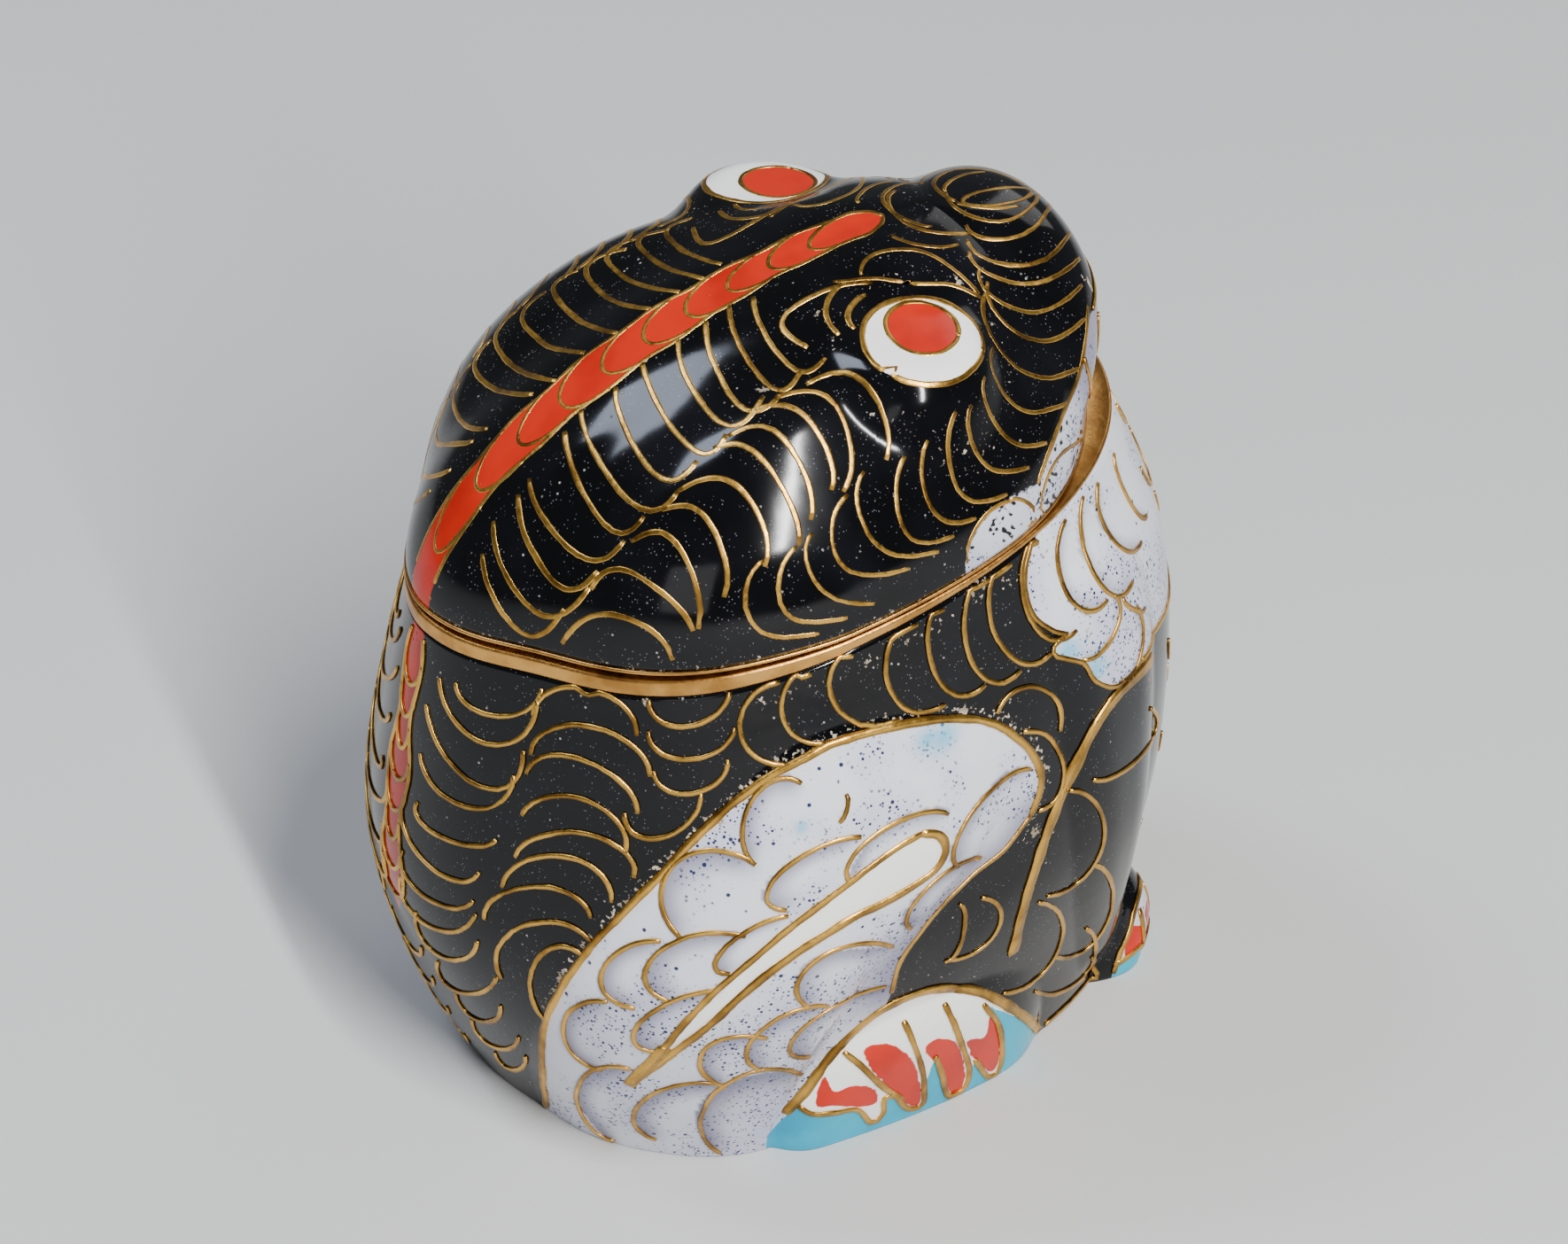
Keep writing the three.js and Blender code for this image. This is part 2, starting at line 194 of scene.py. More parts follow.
# %% Body and lid as surfaces
def outline(theta, t, out):
    """One level's superellipse, moved out along its own normal; gives forward and right."""
    c, s = np.cos(theta), np.sin(theta)
    length = np.where(c >= 0, through_levels(FRONTS, t), through_levels(BACKS, t))
    side = through_levels(SIDES, t)
    n = np.where(c >= 0, FRONT_ROUNDNESS, through_levels(BACK_ROUNDNESS, t))
    f, r = length * signed_power(c, 2 / n), side * signed_power(s, 2 / n)
    nf, nr = f / length**2, r / side**2
    k = np.hypot(nf, nr)
    around = from_front(theta)
    corner = MOUTH_CORNER_OUT * bell(around, *MOUTH_CORNER) - MOUTH_DENT_IN * bell(around, *MOUTH_DENT)
    shift = t * t * corner + out
    return f + nf / k * shift, r + nr / k * shift


def place(f, r, z):
    """Forward, right and height in the frame's axes: the frog looks to -y, its right is -x."""
    return np.stack([-r, MIDDLE - f, z], -1)


def joint_height(f):
    """The joint between body and lid rises towards the snout."""
    return JOINT_HEIGHT + JOINT_RISE * f


def band_height(theta):
    """The brass band of the body is tall round the back and narrows along the flanks."""
    return mix(BAND_FRONT, BODY_RIM_HEIGHT, ease(from_front(theta), *BAND_AROUND))


def lid_gap(theta):
    """The joint stands open a little, more at the back than under the snout."""
    return mix(GAP_FRONT, GAP_BACK, ease(from_front(theta), *GAP_AROUND))


def body_at(theta, t, inset=0.0, bottom=0.0, out=0.0):
    """The body's skin, or its lining when inset: outlines from the base to the joint."""
    f, r = outline(theta, mix(bottom / JOINT_HEIGHT, 1, t), limb_relief(theta, t) - inset + out)
    return place(f, r, mix(bottom, joint_height(f) - band_height(theta) - SEAM, t))


def lid_edge(theta, inset=0.0):
    """The lid's edge follows the mouth, and draws back at the snout to leave a ledge."""
    ledge = FRONT_LEDGE * ease(from_front(theta), *LEDGE_AROUND)
    return outline(theta, np.ones_like(theta), -ledge - inset)


def dome_roundness(theta):
    """The power of the dome's profile, square at the snout and nearly round elsewhere."""
    s = from_front(theta) / 45
    i = np.clip(np.floor(s).astype(int), 0, 3)
    return mix(DOME_ROUNDNESS[i], DOME_ROUNDNESS[i + 1], ease(s - i, 0, 1))


def lid_at(theta, t, inset=0.0):
    """The lid's skin: superellipse profiles from its edge to the crown, with eyes and hollows."""
    theta, t = np.broadcast_arrays(theta, t)
    ef, er = lid_edge(theta, inset)
    n = dome_roundness(theta)
    ca, sa = np.clip(np.cos(t * np.pi / 2), 0, 1), np.clip(np.sin(t * np.pi / 2), 0, 1)
    scale = (ca**n + sa**n) ** (-1 / n)
    up = sa * scale
    lip = LIP_OUT * ease(from_front(theta), *LIP_AROUND) * bell(up, *LIP_LEVEL) * ease(up, *LIP_RISE)
    out = ca * scale * (1 + lip / np.hypot(ef - CROWN_FORWARD, er))
    f, r = mix(CROWN_FORWARD, ef, out), er * out
    aside, behind, above = np.abs(r), ease(f, *BEHIND_HEAD), ease(up, *RELIEF_RISE)
    shoulder = SHOULDER_RAISE * bell(aside, *SHOULDER) * behind
    flank = FLANK_HOLLOW * bell(aside, *FLANK) * behind * ease(f, *BEFORE_NAPE)
    cheek = CHEEK_HOLLOW * bell(f, *CHEEK_FORWARD) * bell(aside, *CHEEK_ASIDE)
    eye = np.exp(-((np.hypot(f - EYE_FORWARD, aside - EYE_SIDE) / EYE_RADIUS) ** 6)) * above
    low = joint_height(ef) + lid_gap(theta) + LID_LINE + SEAM
    dome = mix(low, CROWN_HEIGHT - inset, up) + (shoulder - flank - cheek) * above
    eye_level = CROWN_HEIGHT - EYE_BELOW_CROWN - inset - EYE_TILT * (aside - EYE_SIDE)
    return place(f, r, mix(dome, eye_level, eye))


# %% [markdown]
# ## The camera
# The photograph looks down on the frog's right flank from behind, through a long lens. The camera
# is set from that direction and distance, and a small shift frames it as the photograph does.

# %% Camera
TO_CAMERA = np.array([-0.7107, 0.3865, 0.5878])
CAMERA_RIGHT = np.array([-0.4778, -0.8785, 0.0])
ROLL, DISTANCE, LOOK_AT = np.radians(1.97), 350.0, np.array([0.0, MIDDLE - 3.22, 27.0])
LENS_MM, SENSOR_MM, SHIFT = 121.0, 36.0, (0.0218, 0.0173)


def camera_axes():
    """Right, up and backwards of the camera, after its roll."""
    back = TO_CAMERA / np.linalg.norm(TO_CAMERA)
    right = CAMERA_RIGHT / np.linalg.norm(CAMERA_RIGHT)
    up = np.cross(back, right)
    return right * np.cos(ROLL) + up * np.sin(ROLL), up * np.cos(ROLL) - right * np.sin(ROLL), back


def show(name, data):
    """Puts a mesh, camera or light into the scene as an object."""
    item = bpy.data.objects.new(name, data)
    bpy.context.scene.collection.objects.link(item)
    return item


right, up, back = camera_axes()
camera_data = bpy.data.cameras.new("camera")
camera_data.lens, camera_data.sensor_width, camera_data.sensor_fit = LENS_MM, SENSOR_MM, "HORIZONTAL"
camera_data.shift_x, camera_data.shift_y = SHIFT
camera_data.clip_start, camera_data.clip_end = 0.01, 10
camera = show("camera", camera_data)
spot = (LOOK_AT + back * DISTANCE) * MM
columns = np.column_stack([right, up, back, spot])
camera.matrix_world = Matrix(np.vstack([columns, [0, 0, 0, 1]]).tolist())
bpy.context.scene.camera = camera
print("camera at", np.round(spot / MM, 1), "mm")


# %% [markdown]
# ## Turning rings into a mesh
# Every shell here is a stack of rings of points. A ring of one point closes the stack with a fan,
# and a stack without such tips closes on itself.

# %% Mesh helpers
def new_piece(name, points, faces, materials):
    """Makes an object of points in millimetres and faces, which rides on the frame's root."""
    mesh = bpy.data.meshes.new(name)
    mesh.from_pydata((np.asarray(points) * MM).tolist(), [], faces)
    mesh.polygons.foreach_set("use_smooth", np.ones(len(mesh.polygons), bool))
    for material in materials:
        mesh.materials.append(material)
    piece = show(name, mesh)
    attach(piece, "root")
    print(name, "has", sum(len(p.vertices) - 2 for p in mesh.polygons), "triangles")
    return piece


def ring_faces(sizes):
    """Faces between each ring and the next, wound so that they look out."""
    starts = np.concatenate([[0], np.cumsum(sizes)])
    faces, bands = [], []
    closed = sizes[0] > 1
    for j in range(len(sizes) if closed else len(sizes) - 1):
        k = (j + 1) % len(sizes)
        n = max(sizes[j], sizes[k])
        i, next_i = np.arange(n), (np.arange(n) + 1) % n
        a, b = starts[j] + i * (sizes[j] > 1), starts[j] + next_i * (sizes[j] > 1)
        d, c = starts[k] + i * (sizes[k] > 1), starts[k] + next_i * (sizes[k] > 1)
        if sizes[j] == 1:
            faces += np.stack([a, d, c], -1).tolist()
        elif sizes[k] == 1:
            faces += np.stack([a, d, b], -1).tolist()
        else:
            faces += np.stack([a, d, c, b], -1).tolist()
        bands.append(n)
    return faces, bands


def add_field(piece, name, values):
    """Stores one number per point, which a material can read by name."""
    field = piece.data.attributes.new(name, "FLOAT", "POINT")
    field.data.foreach_set("value", np.asarray(values, np.float32))


# %% [markdown]
# ## Wires as bows
# Nearly every cell wall on the frog is a bent scrap of wire: a U, a J or an arch. Each is drawn as
# half of a slanted oval, given by its two ends and its deepest point.

# %% Bows and smooth lines
def bow(a, deep, b, flared=0, n=15):
    """Half an oval from a to b: middle + (a - middle) x + (deep - middle) (1 - x x) to a power.

    The power is a half, as for an ellipse. It grows to one, as for a parabola, towards the flared
    end: the second end for 1, the first for -1.
    """
    a, deep, b = (np.array(p, float) for p in (a, deep, b))
    x = np.cos(np.linspace(0, np.pi, n))[:, None]
    middle = (a + b) / 2
    power = 0.5 + 0.25 * abs(flared) * (1 - flared * x)
    return middle + (a - middle) * x + (deep - middle) * np.clip(1 - x * x, 0, 1) ** power


def smooth_line(points, closed=False, n=10):
    """A Catmull-Rom curve: each stretch leaves along the line between its point's neighbours."""
    p = np.array(points, float)
    ends = (p[-1:], p[:2]) if closed else (2 * p[0] - p[1], 2 * p[-1] - p[-2])
    p = np.vstack([ends[0], p, ends[1]])
    k = np.linspace(0, 1, n, endpoint=False)[:, None, None]
    a, b, c, d = p[:-3], p[1:-2], p[2:-1], p[3:]
    square, cube = a - 2.5 * b + 2 * c - d / 2, (d - a) / 2 + 1.5 * (b - c)
    q = b + (c - a) / 2 * k + square * k**2 + cube * k**3
    q = q.transpose(1, 0, 2).reshape(-1, 2)
    return np.vstack([q, q[:1] if closed else p[-2:-1]])


def inside(points, u, v):
    """Distance to a closed line, more than zero inside it."""
    a, b = points, np.roll(points, -1, axis=0)
    q = np.stack([u, v], -1).reshape(-1, 1, 2)
    best, crossings = np.full(len(q), np.inf), np.zeros(len(q), int)
    for start, end in zip(a, b):
        d = end - start
        if not d.any():
            continue
        k = np.clip(((q[:, 0] - start) @ d) / (d @ d), 0, 1)
        best = np.minimum(best, np.hypot(*(q[:, 0] - start - k[:, None] * d).T))
        x, y = q[:, 0].T
        up = (start[1] <= y) != (end[1] <= y)
        at = start[0] + (y - start[1]) * d[0] / (d[1] if d[1] else 1)
        crossings += up & (x < at)
    return np.where(crossings % 2 == 1, best, -best).reshape(np.shape(u))


# %% Charts: flat millimetre maps of the surfaces
def on_body(q):
    """The side wall laid out: q is (girth from the breast, more than zero on the right; height)."""
    return body_at(np.radians(q[:, 0] * 180 / GIRTH), q[:, 1] / HEIGHT)


def on_lid_side(q):
    """The lid's steep front: q is (girth as on the body, millimetres up the dome's profile)."""
    return lid_at(np.radians(q[:, 0] * 180 / GIRTH), q[:, 1] / PROFILE)


STEP, FLAT, FAR_THETA, FAR_T = 1e-5, 1e-6, 0.03, 0.015


def close_in(surface, flat, goal, theta, t):
    """Newton's steps of (theta, t) until the surface's point there, made flat, meets its goal."""
    for _ in range(7):
        p = flat(surface(theta, t))
        a = (flat(surface(theta + STEP, t)) - p) / STEP
        b = (flat(surface(theta, t - STEP)) - p) / -STEP
        miss, det = goal - p, a[:, 0] * b[:, 1] - a[:, 1] * b[:, 0]
        det = np.where(np.abs(det) < FLAT, FLAT, det)
        turn = (miss[:, 0] * b[:, 1] - miss[:, 1] * b[:, 0]) / det
        climb = (a[:, 0] * miss[:, 1] - a[:, 1] * miss[:, 0]) / det
        theta = theta + np.clip(turn, -FAR_THETA, FAR_THETA)
        t = np.clip(t + np.clip(climb, -FAR_T, FAR_T), 0.001, 0.999)
    return theta, t


PROFILE = 22.0
some = np.meshgrid(np.radians(np.arange(-180, 180, 2.0)), np.linspace(0.01, 0.99, 84))
SOME_THETA, SOME_T = (m.ravel() for m in some)


def plan(p):
    """A point seen from above, as (forward, right)."""
    return np.stack([MIDDLE - p[..., 1], -p[..., 0]], -1)


def nearest(known, goal, extra=0.0):
    """For each goal, which of the known points is nearest, a hundred goals at a time."""
    return np.concatenate([np.argmin(((part[:, None] - known[None]) ** 2).sum(-1) + extra, axis=1)
                           for part in np.array_split(goal, len(goal) // 100 + 1)])


def on_lid(q):
    """The lid seen from above: q is (forward, right)."""
    near = nearest(plan(lid_at(SOME_THETA, SOME_T)), q)
    return lid_at(*close_in(lid_at, plan, q, SOME_THETA[near], SOME_T[near]))


# %% [markdown]
# ## Reading the photograph
# Where a wire lies was read off the photograph, as picture points. Each point is a ray from
# the camera, and the place where the ray meets the near side of the form is where the wire goes.
# So every wire lies on the surface, seen from any side, and the left flank mirrors the right.

# %% From picture points to the surface
PICTURE = np.array([1770.0, 1404.0])
LENS = LENS_MM / SENSOR_MM * PICTURE[0]
MIDPOINT = PICTURE / 2 + np.array([-SHIFT[0], SHIFT[1]]) * PICTURE[0]


NEARER, MISS = 1.5, 2


def to_picture(p):
    """Where the camera shows a point, in picture points from the top left."""
    q = p - LOOK_AT
    k = LENS / (DISTANCE - q @ back)
    return np.stack([MIDPOINT[0] + k * (q @ right), MIDPOINT[1] - k * (q @ up)], -1)


def facing(surface, theta, t):
    """Whether the surface looks towards the camera."""
    p = surface(theta, t)
    normal = np.cross(surface(theta + 10 * STEP, t) - p, surface(theta, t + 10 * STEP) - p)
    return -normal @ back > 0


def seen(surface, chart, points):
    """Chart places of picture points on the near side of a surface.

    The nearest known place starts the search, and stays where the search misses the point.
    """
    points = np.array(points, float).reshape(-1, 2)
    near_side = facing(surface, SOME_THETA, SOME_T)
    theta, t = SOME_THETA[near_side], SOME_T[near_side]
    p = surface(theta, t)
    near = nearest(to_picture(p), points, -NEARER * (p @ back))
    theta, t = theta[near], t[near]
    closer = close_in(surface, to_picture, points, theta, t)
    missed = np.hypot(*(to_picture(surface(*closer)) - points).T) > MISS
    theta, t = np.where(missed, theta, closer[0]), np.where(missed, t, closer[1])
    return chart(np.where(theta < -np.pi / 2, theta + 2 * np.pi, theta), t)


def body_chart(theta, t):
    """Girth and height of a place on the body."""
    return np.stack([np.degrees(theta) * GIRTH / 180, t * HEIGHT], -1)


def lid_chart(theta, t):
    """Forward and right of a place on the lid."""
    return plan(lid_at(theta, t))


def body_seen(points):
    """Places on the body of picture points."""
    return seen(body_at, body_chart, points)


def lid_seen(points):
    """Places on the lid of picture points."""
    return seen(lid_at, lid_chart, points)


# %% [markdown]
# ## Soldering the wires on
# A cloisonne wire is a flat strip on edge, ground level with the glass. What shows is a narrow,
# slightly rounded and ragged gold line. Each is a low six-sided bar carried along its bow on the
# surface, and its width wanders a little, as filed and polished wire does.

# %% Wire sweep
rng = np.random.default_rng(7)
SECTION = np.array([(-0.5, -0.12), (-0.44, 0.55), (-0.2, 1.0), (0.2, 1.0), (0.44, 0.55), (0.5, -0.12)])
WIRE_STEP, CHART_STEP, END_SHARE, WIDTH_WANDER, ASIDE = 0.36, 0.02, 0.8, 0.13, 0.05


def even(path, step):
    """The same line with points every step millimetres."""
    at = np.concatenate([[0], np.cumsum(np.hypot(*np.diff(path, axis=0).T))])
    n = max(int(at[-1] / step), 4) + 1
    k = np.linspace(0, at[-1], n)
    return np.stack([np.interp(k, at, path[:, 0]), np.interp(k, at, path[:, 1])], -1)


def drift(n, width):
    """A run of n random numbers, each the mean of a few neighbours."""
    edge = width - 1
    return np.convolve(rng.normal(0, 1, n + 2 * edge), np.ones(width) / width, "same")[edge:-edge]


def wires(chart, lines, turned=1.0):
    """Points and faces of all lines, given as (path on the chart, width, height).

    turned is 1 for a chart that runs like the surface seen from outside, -1 for its mirror image.
    """
    paths = [even(path, WIRE_STEP) for path, _, _ in lines]
    starts = np.concatenate([[0], np.cumsum([len(path) for path in paths])])
    q = np.vstack(paths)
    p = chart(q)
    normal = np.cross(chart(q + [CHART_STEP, 0]) - p, chart(q + [0, CHART_STEP]) - p) * turned
    normal /= np.linalg.norm(normal, axis=1)[:, None]
    points, faces = [], []
    for i, (_, width, height) in enumerate(lines):
        a, b = starts[i], starts[i + 1]
        n, base = int(b - a), int(a) * 6
        across = np.cross(normal[a:b], np.gradient(p[a:b], axis=0))
        across /= np.linalg.norm(across, axis=1)[:, None] + 1e-9
        w = width * (1 + WIDTH_WANDER * drift(n, 3))
        w[[0, -1]] *= END_SHARE
        middle = p[a:b] + across * (ASIDE * drift(n, 5))[:, None]
        side = across[:, None] * (w[:, None] * SECTION[:, 0])[..., None]
        high = np.where(SECTION[:, 1] > 0, SECTION[:, 1] * height, SECTION[:, 1])
        ring = middle[:, None] + side + normal[a:b][:, None] * high[None, :, None]
        points.append(ring.reshape(-1, 3))
        j, k = np.meshgrid(np.arange(n - 1), np.arange(6), indexing="ij")
        next_k = (k + 1) % 6
        quad = np.stack([j * 6 + k, j * 6 + next_k, (j + 1) * 6 + next_k, (j + 1) * 6 + k], -1)
        faces += (quad.reshape(-1, 4) + base).tolist()
        faces += [[base, *range(base + 5, base, -1)], [*range(base + n * 6 - 6, base + n * 6)]]
    return np.vstack(points), faces


def both_sides(lines, axis):
    """The lines and their mirror images on the frog's left."""
    flip = np.array([-1.0, 1.0]) if axis == 0 else np.array([1.0, -1.0])
    return lines + [(path * flip, width, height) for path, width, height in lines]


# %% [markdown]
# ## The layout of the body
# The wires of one flank. The back has a column of U-shaped scales beside the red stripe and a
# column of arches before the thigh. The thigh is a white oval with a gold border, arches for
# scales, and a long hairpin that marks the folded shin.

# %% Body lines, in picture points
def line(*numbers):
    """Points x, y of a line."""
    return np.reshape(numbers, (-1, 2))


def bows(*numbers):
    """Bows, each with its start, deepest point and end."""
    return np.reshape(numbers, (-1, 3, 2))


BACK_U = bows(
    515, 770, 562, 808, 612, 777,  497, 765, 552, 840, 607, 790,  482, 795, 540, 886, 592, 847,
    475, 850, 528, 911, 580, 875,  472, 905, 500, 945, 561, 948,  457, 905, 483, 975, 542, 985,
    455, 960, 480, 1012, 535, 1017,  453, 988, 485, 1045, 538, 1032,  470, 1030, 500, 1080, 540, 1062,
    495, 1085, 522, 1120, 562, 1102,  515, 1120, 543, 1152, 566, 1135,  533, 1150, 560, 1182, 586, 1170,
    560, 1188, 580, 1207, 594, 1192)
BACK_ARCH = bows(
    602, 807, 664, 776, 720, 830,  600, 852, 668, 820, 735, 876,  595, 873, 662, 858, 720, 918,
    590, 920, 662, 903, 706, 962,  582, 967, 660, 940, 716, 990,  567, 1001, 636, 966, 691, 1018,
    547, 1037, 605, 1000, 668, 1036,  567, 1104, 590, 1045, 667, 1062,  615, 1150, 605, 1085, 657, 1077)
UNDER_RIM = bows(
    732, 790, 776, 819, 824, 780,  732, 825, 778, 857, 829, 821,  737, 870, 782, 896, 822, 857,
    705, 917, 748, 945, 792, 895,  880, 769, 835, 822, 890, 863,  915, 752, 883, 806, 932, 838,
    955, 735, 946, 800, 1015, 811,  1030, 688, 1003, 775, 1067, 795,  1062, 673, 1055, 760, 1112, 773,
    1107, 642, 1094, 742, 1152, 757,  1130, 630, 1125, 722, 1186, 738,  1165, 606, 1162, 697, 1215, 711,
    1125, 805, 1172, 776, 1196, 825,  1155, 825, 1200, 862, 1172, 915)
FRONT_ARCH = bows(
    1207, 892, 1245, 950, 1182, 1011,  1172, 1018, 1195, 1070, 1132, 1121,
    1235, 975, 1250, 1040, 1190, 1080,  1226, 1047, 1224, 1100, 1168, 1118,
    1232, 1080, 1226, 1132, 1185, 1160,  1083, 1020, 1087, 1055, 1066, 1085,
    1108, 1013, 1125, 1050, 1070, 1083,  1298, 800, 1290, 850, 1234, 879)
THIGH_BOWS = bows(
    768, 1058, 762, 975, 853, 976,  757, 1131, 742, 1075, 842, 1056,  717, 1138, 680, 1095, 746, 1062,
    680, 1208, 636, 1160, 686, 1130,  745, 1187, 724, 1152, 812, 1117,  824, 1098, 820, 1068, 890, 1033,
    696, 1291, 652, 1230, 712, 1207,  741, 1286, 728, 1240, 820, 1225,  813, 1301, 808, 1232, 905, 1212,
    820, 1227, 795, 1185, 866, 1172,  862, 1208, 856, 1165, 935, 1135,  888, 1027, 880, 985, 972, 944,
    960, 995, 990, 940, 1070, 919,  1082, 978, 1098, 915, 1163, 868,  1028, 1048, 1045, 1003, 1107, 968,
    916, 1138, 918, 1085, 1008, 1068,  852, 976, 848, 905, 905, 884,  914, 1192, 906, 1160, 1000, 1113,
    947, 928, 956, 912, 955, 896)
THROAT_BOWS = bows(
    1202, 586, 1203, 668, 1250, 677,  1222, 560, 1236, 652, 1278, 656,  1239, 545, 1254, 608, 1288, 612,
    1257, 512, 1272, 562, 1294, 582,  1267, 675, 1280, 688, 1292, 686,  1257, 672, 1257, 716, 1222, 744,
    1282, 686, 1288, 735, 1266, 768)
THIGH_BORDER = line(
    617, 1250, 612, 1195, 616, 1153, 636, 1113, 666, 1070, 700, 1034, 740, 994, 780, 951, 825, 909,
    865, 879, 900, 860, 935, 841, 975, 828, 1020, 817, 1070, 811, 1118, 815, 1152, 836, 1171, 862,
    1174, 888, 1163, 920)
THIGH_FRONT = line(
    1163, 920, 1132, 960, 1100, 985, 1070, 1015, 1040, 1050, 1016, 1085, 1006, 1120)
HAIRPIN_TOP = line(
    712, 1222, 746, 1187, 795, 1130, 842, 1090, 900, 1040, 962, 994, 1010, 957, 1040, 940)
HAIRPIN_LOW = line(
    1040, 940, 1060, 942, 1067, 960, 1052, 985, 1005, 1015, 960, 1037, 900, 1075, 850, 1112, 790, 1165,
    712, 1222)
FOOT_TOP = line(
    886, 1256, 910, 1229, 935, 1195, 960, 1168, 990, 1143, 1020, 1127, 1050, 1117, 1080, 1115, 1110, 1121,
    1140, 1137, 1165, 1155, 1176, 1170)
FOOT_SCALLOP = line(
    902, 1248, 918, 1257, 945, 1255, 968, 1252, 984, 1266, 996, 1256, 997, 1240, 1010, 1236, 1024, 1250,
    1040, 1247, 1043, 1230, 1036, 1190, 1020, 1152)
TOE_WIRES = (
    line(952, 1187, 975, 1205, 998, 1227, 1018, 1240),
    line(1066, 1132, 1078, 1160, 1090, 1190, 1093, 1216, 1080, 1240, 1068, 1234, 1063, 1212, 1056, 1192),
    line(1110, 1133, 1125, 1155, 1131, 1180, 1128, 1204, 1119, 1216, 1109, 1209, 1100, 1196))
RED_TOES = (
    line(925, 1225, 932, 1215, 942, 1232, 960, 1226, 985, 1228, 990, 1243, 975, 1249, 945, 1248, 922, 1248),
    line(975, 1185, 1000, 1178, 1022, 1188, 1034, 1205, 1040, 1240, 1028, 1248, 1005, 1230, 985, 1208),
    line(1046, 1180, 1062, 1172, 1080, 1178, 1088, 1200, 1088, 1222, 1078, 1236, 1067, 1225, 1062, 1205,
         1048, 1192),
    line(1092, 1175, 1112, 1170, 1118, 1146, 1127, 1150, 1129, 1180, 1126, 1200, 1118, 1210, 1100, 1196))
HAIRPIN_BAR, FOOT_CORNER = line(710, 1224, 728, 1206, 752, 1182), line(866, 1282, 884, 1262)
FORELEG_BAR = line(
    1300, 742, 1280, 764, 1255, 790, 1230, 830, 1208, 875, 1185, 930, 1165, 990, 1151, 1040, 1143, 1076)
THROAT_BORDER = line(
    1165, 606, 1157, 640, 1158, 672, 1168, 698, 1190, 712, 1205, 716, 1190, 728, 1192, 740, 1222, 748,
    1235, 767, 1255, 775, 1273, 764, 1288, 745)

CRUST_AT = line(
    1092, 650, 882, 852, 1165, 940, 1298, 772, 1226, 690, 1228, 716, 842, 892, 812, 925, 735, 700)
CRUST_SIZE = (0.9, 0.7, 0.8, 0.8, 0.5, 0.5, 0.7, 0.6, 0.4)
TINT_AT = line(1066, 832, 1048, 834, 1236, 757, 1206, 735, 905, 934)
TINT_SIZE = (0.8, 0.6, 0.9, 0.8, 0.4)

# %% The same on the laid-out wall
FINE, BOLD, BAR = 0.32, 0.44, 0.92
FLUSH, PROUD, ABOVE_FLOOR = 0.015, 0.04, 0.4
FOOT_MARGIN, FORE_SOLE, STRIPE_TOP, STRIPE_FOOT = 1.2, 1.3, 40.9, 15.5


def traced(picture_line, closed=False):
    """A smooth line of picture points as a path on the body."""
    return body_seen(smooth_line(picture_line, closed))


THIGH_SCALES, THROAT_SCALES = (body_seen(b).reshape(-1, 3, 2) for b in (THIGH_BOWS, THROAT_BOWS))
thigh_border, thigh_front, foot_top = traced(THIGH_BORDER), traced(THIGH_FRONT), traced(FOOT_TOP)
foot_scallop, hairpin_low, hairpin_top = traced(FOOT_SCALLOP), traced(HAIRPIN_LOW), traced(HAIRPIN_TOP)
foreleg_bar, throat_border = traced(FORELEG_BAR), traced(THROAT_BORDER)
hairpin_bar, foot_corner = body_seen(HAIRPIN_BAR), body_seen(FOOT_CORNER)
toe_wires = [traced(wire) for wire in TOE_WIRES]
foot_left, foot_right, under = foot_top[0], foot_top[-1], -6.0
behind_thigh = foot_top[foot_top[:, 0] > thigh_front[-1][0]][::-1]
HAIRPIN_CELL = np.vstack([hairpin_top, hairpin_low])
THIGH_CELL = np.vstack([thigh_border, thigh_front, behind_thigh, [foot_left + [0, under], (61.0, under)]])
HIND_FOOT_CELL = np.vstack([foot_top, [(foot_right[0], under), (foot_left[0], under)]])
TURQUOISE_CELL = np.vstack([
    foot_corner, foot_scallop[:-20], toe_wires[1][::-1][:-30], toe_wires[2][::-1],
    [foot_right, (foot_right[0] - 1, under), (foot_corner[0][0], under)]])
RED_TOE_CELLS = [traced(toe, closed=True) for toe in RED_TOES]


def back_stripe_half(v):
    """Half the red stripe down the back: three millimetres wide, pointed at its lower end."""
    return np.maximum(1.5 + 0.35 * np.sin(v * 0.7) - 2.4 * ease(v, 19, 12), 0.05)


THROAT_TOP, THROAT_FOOT = 44.0, [(9.0, 27.0), (4.0, 27.6), (0.0, 27.0)]


def scale_at(u, v, half=2.1, deep=2.5):
    """A hanging scale on the laid-out wall, round a place of its row."""
    return bow((u - half, v), (u, v - deep), (u + half, v))


def hidden_front():
    """Scales over the belly and the throat, which the photograph doesn't show."""
    places = [(u, v) for v in (24.6, 17.6, 10.6) for u in (4.4, 8.8)]
    places += [(u, v) for v in (21.1, 14.1, 7.1) for u in (2.2, 6.6)]
    places += [(4.4, 39.4), (2.2, 36.0), (6.6, 36.0), (4.4, 32.4)]
    return [scale_at(u, v) for u, v in places] + [smooth_line([throat_border[-1]] + THROAT_FOOT)]


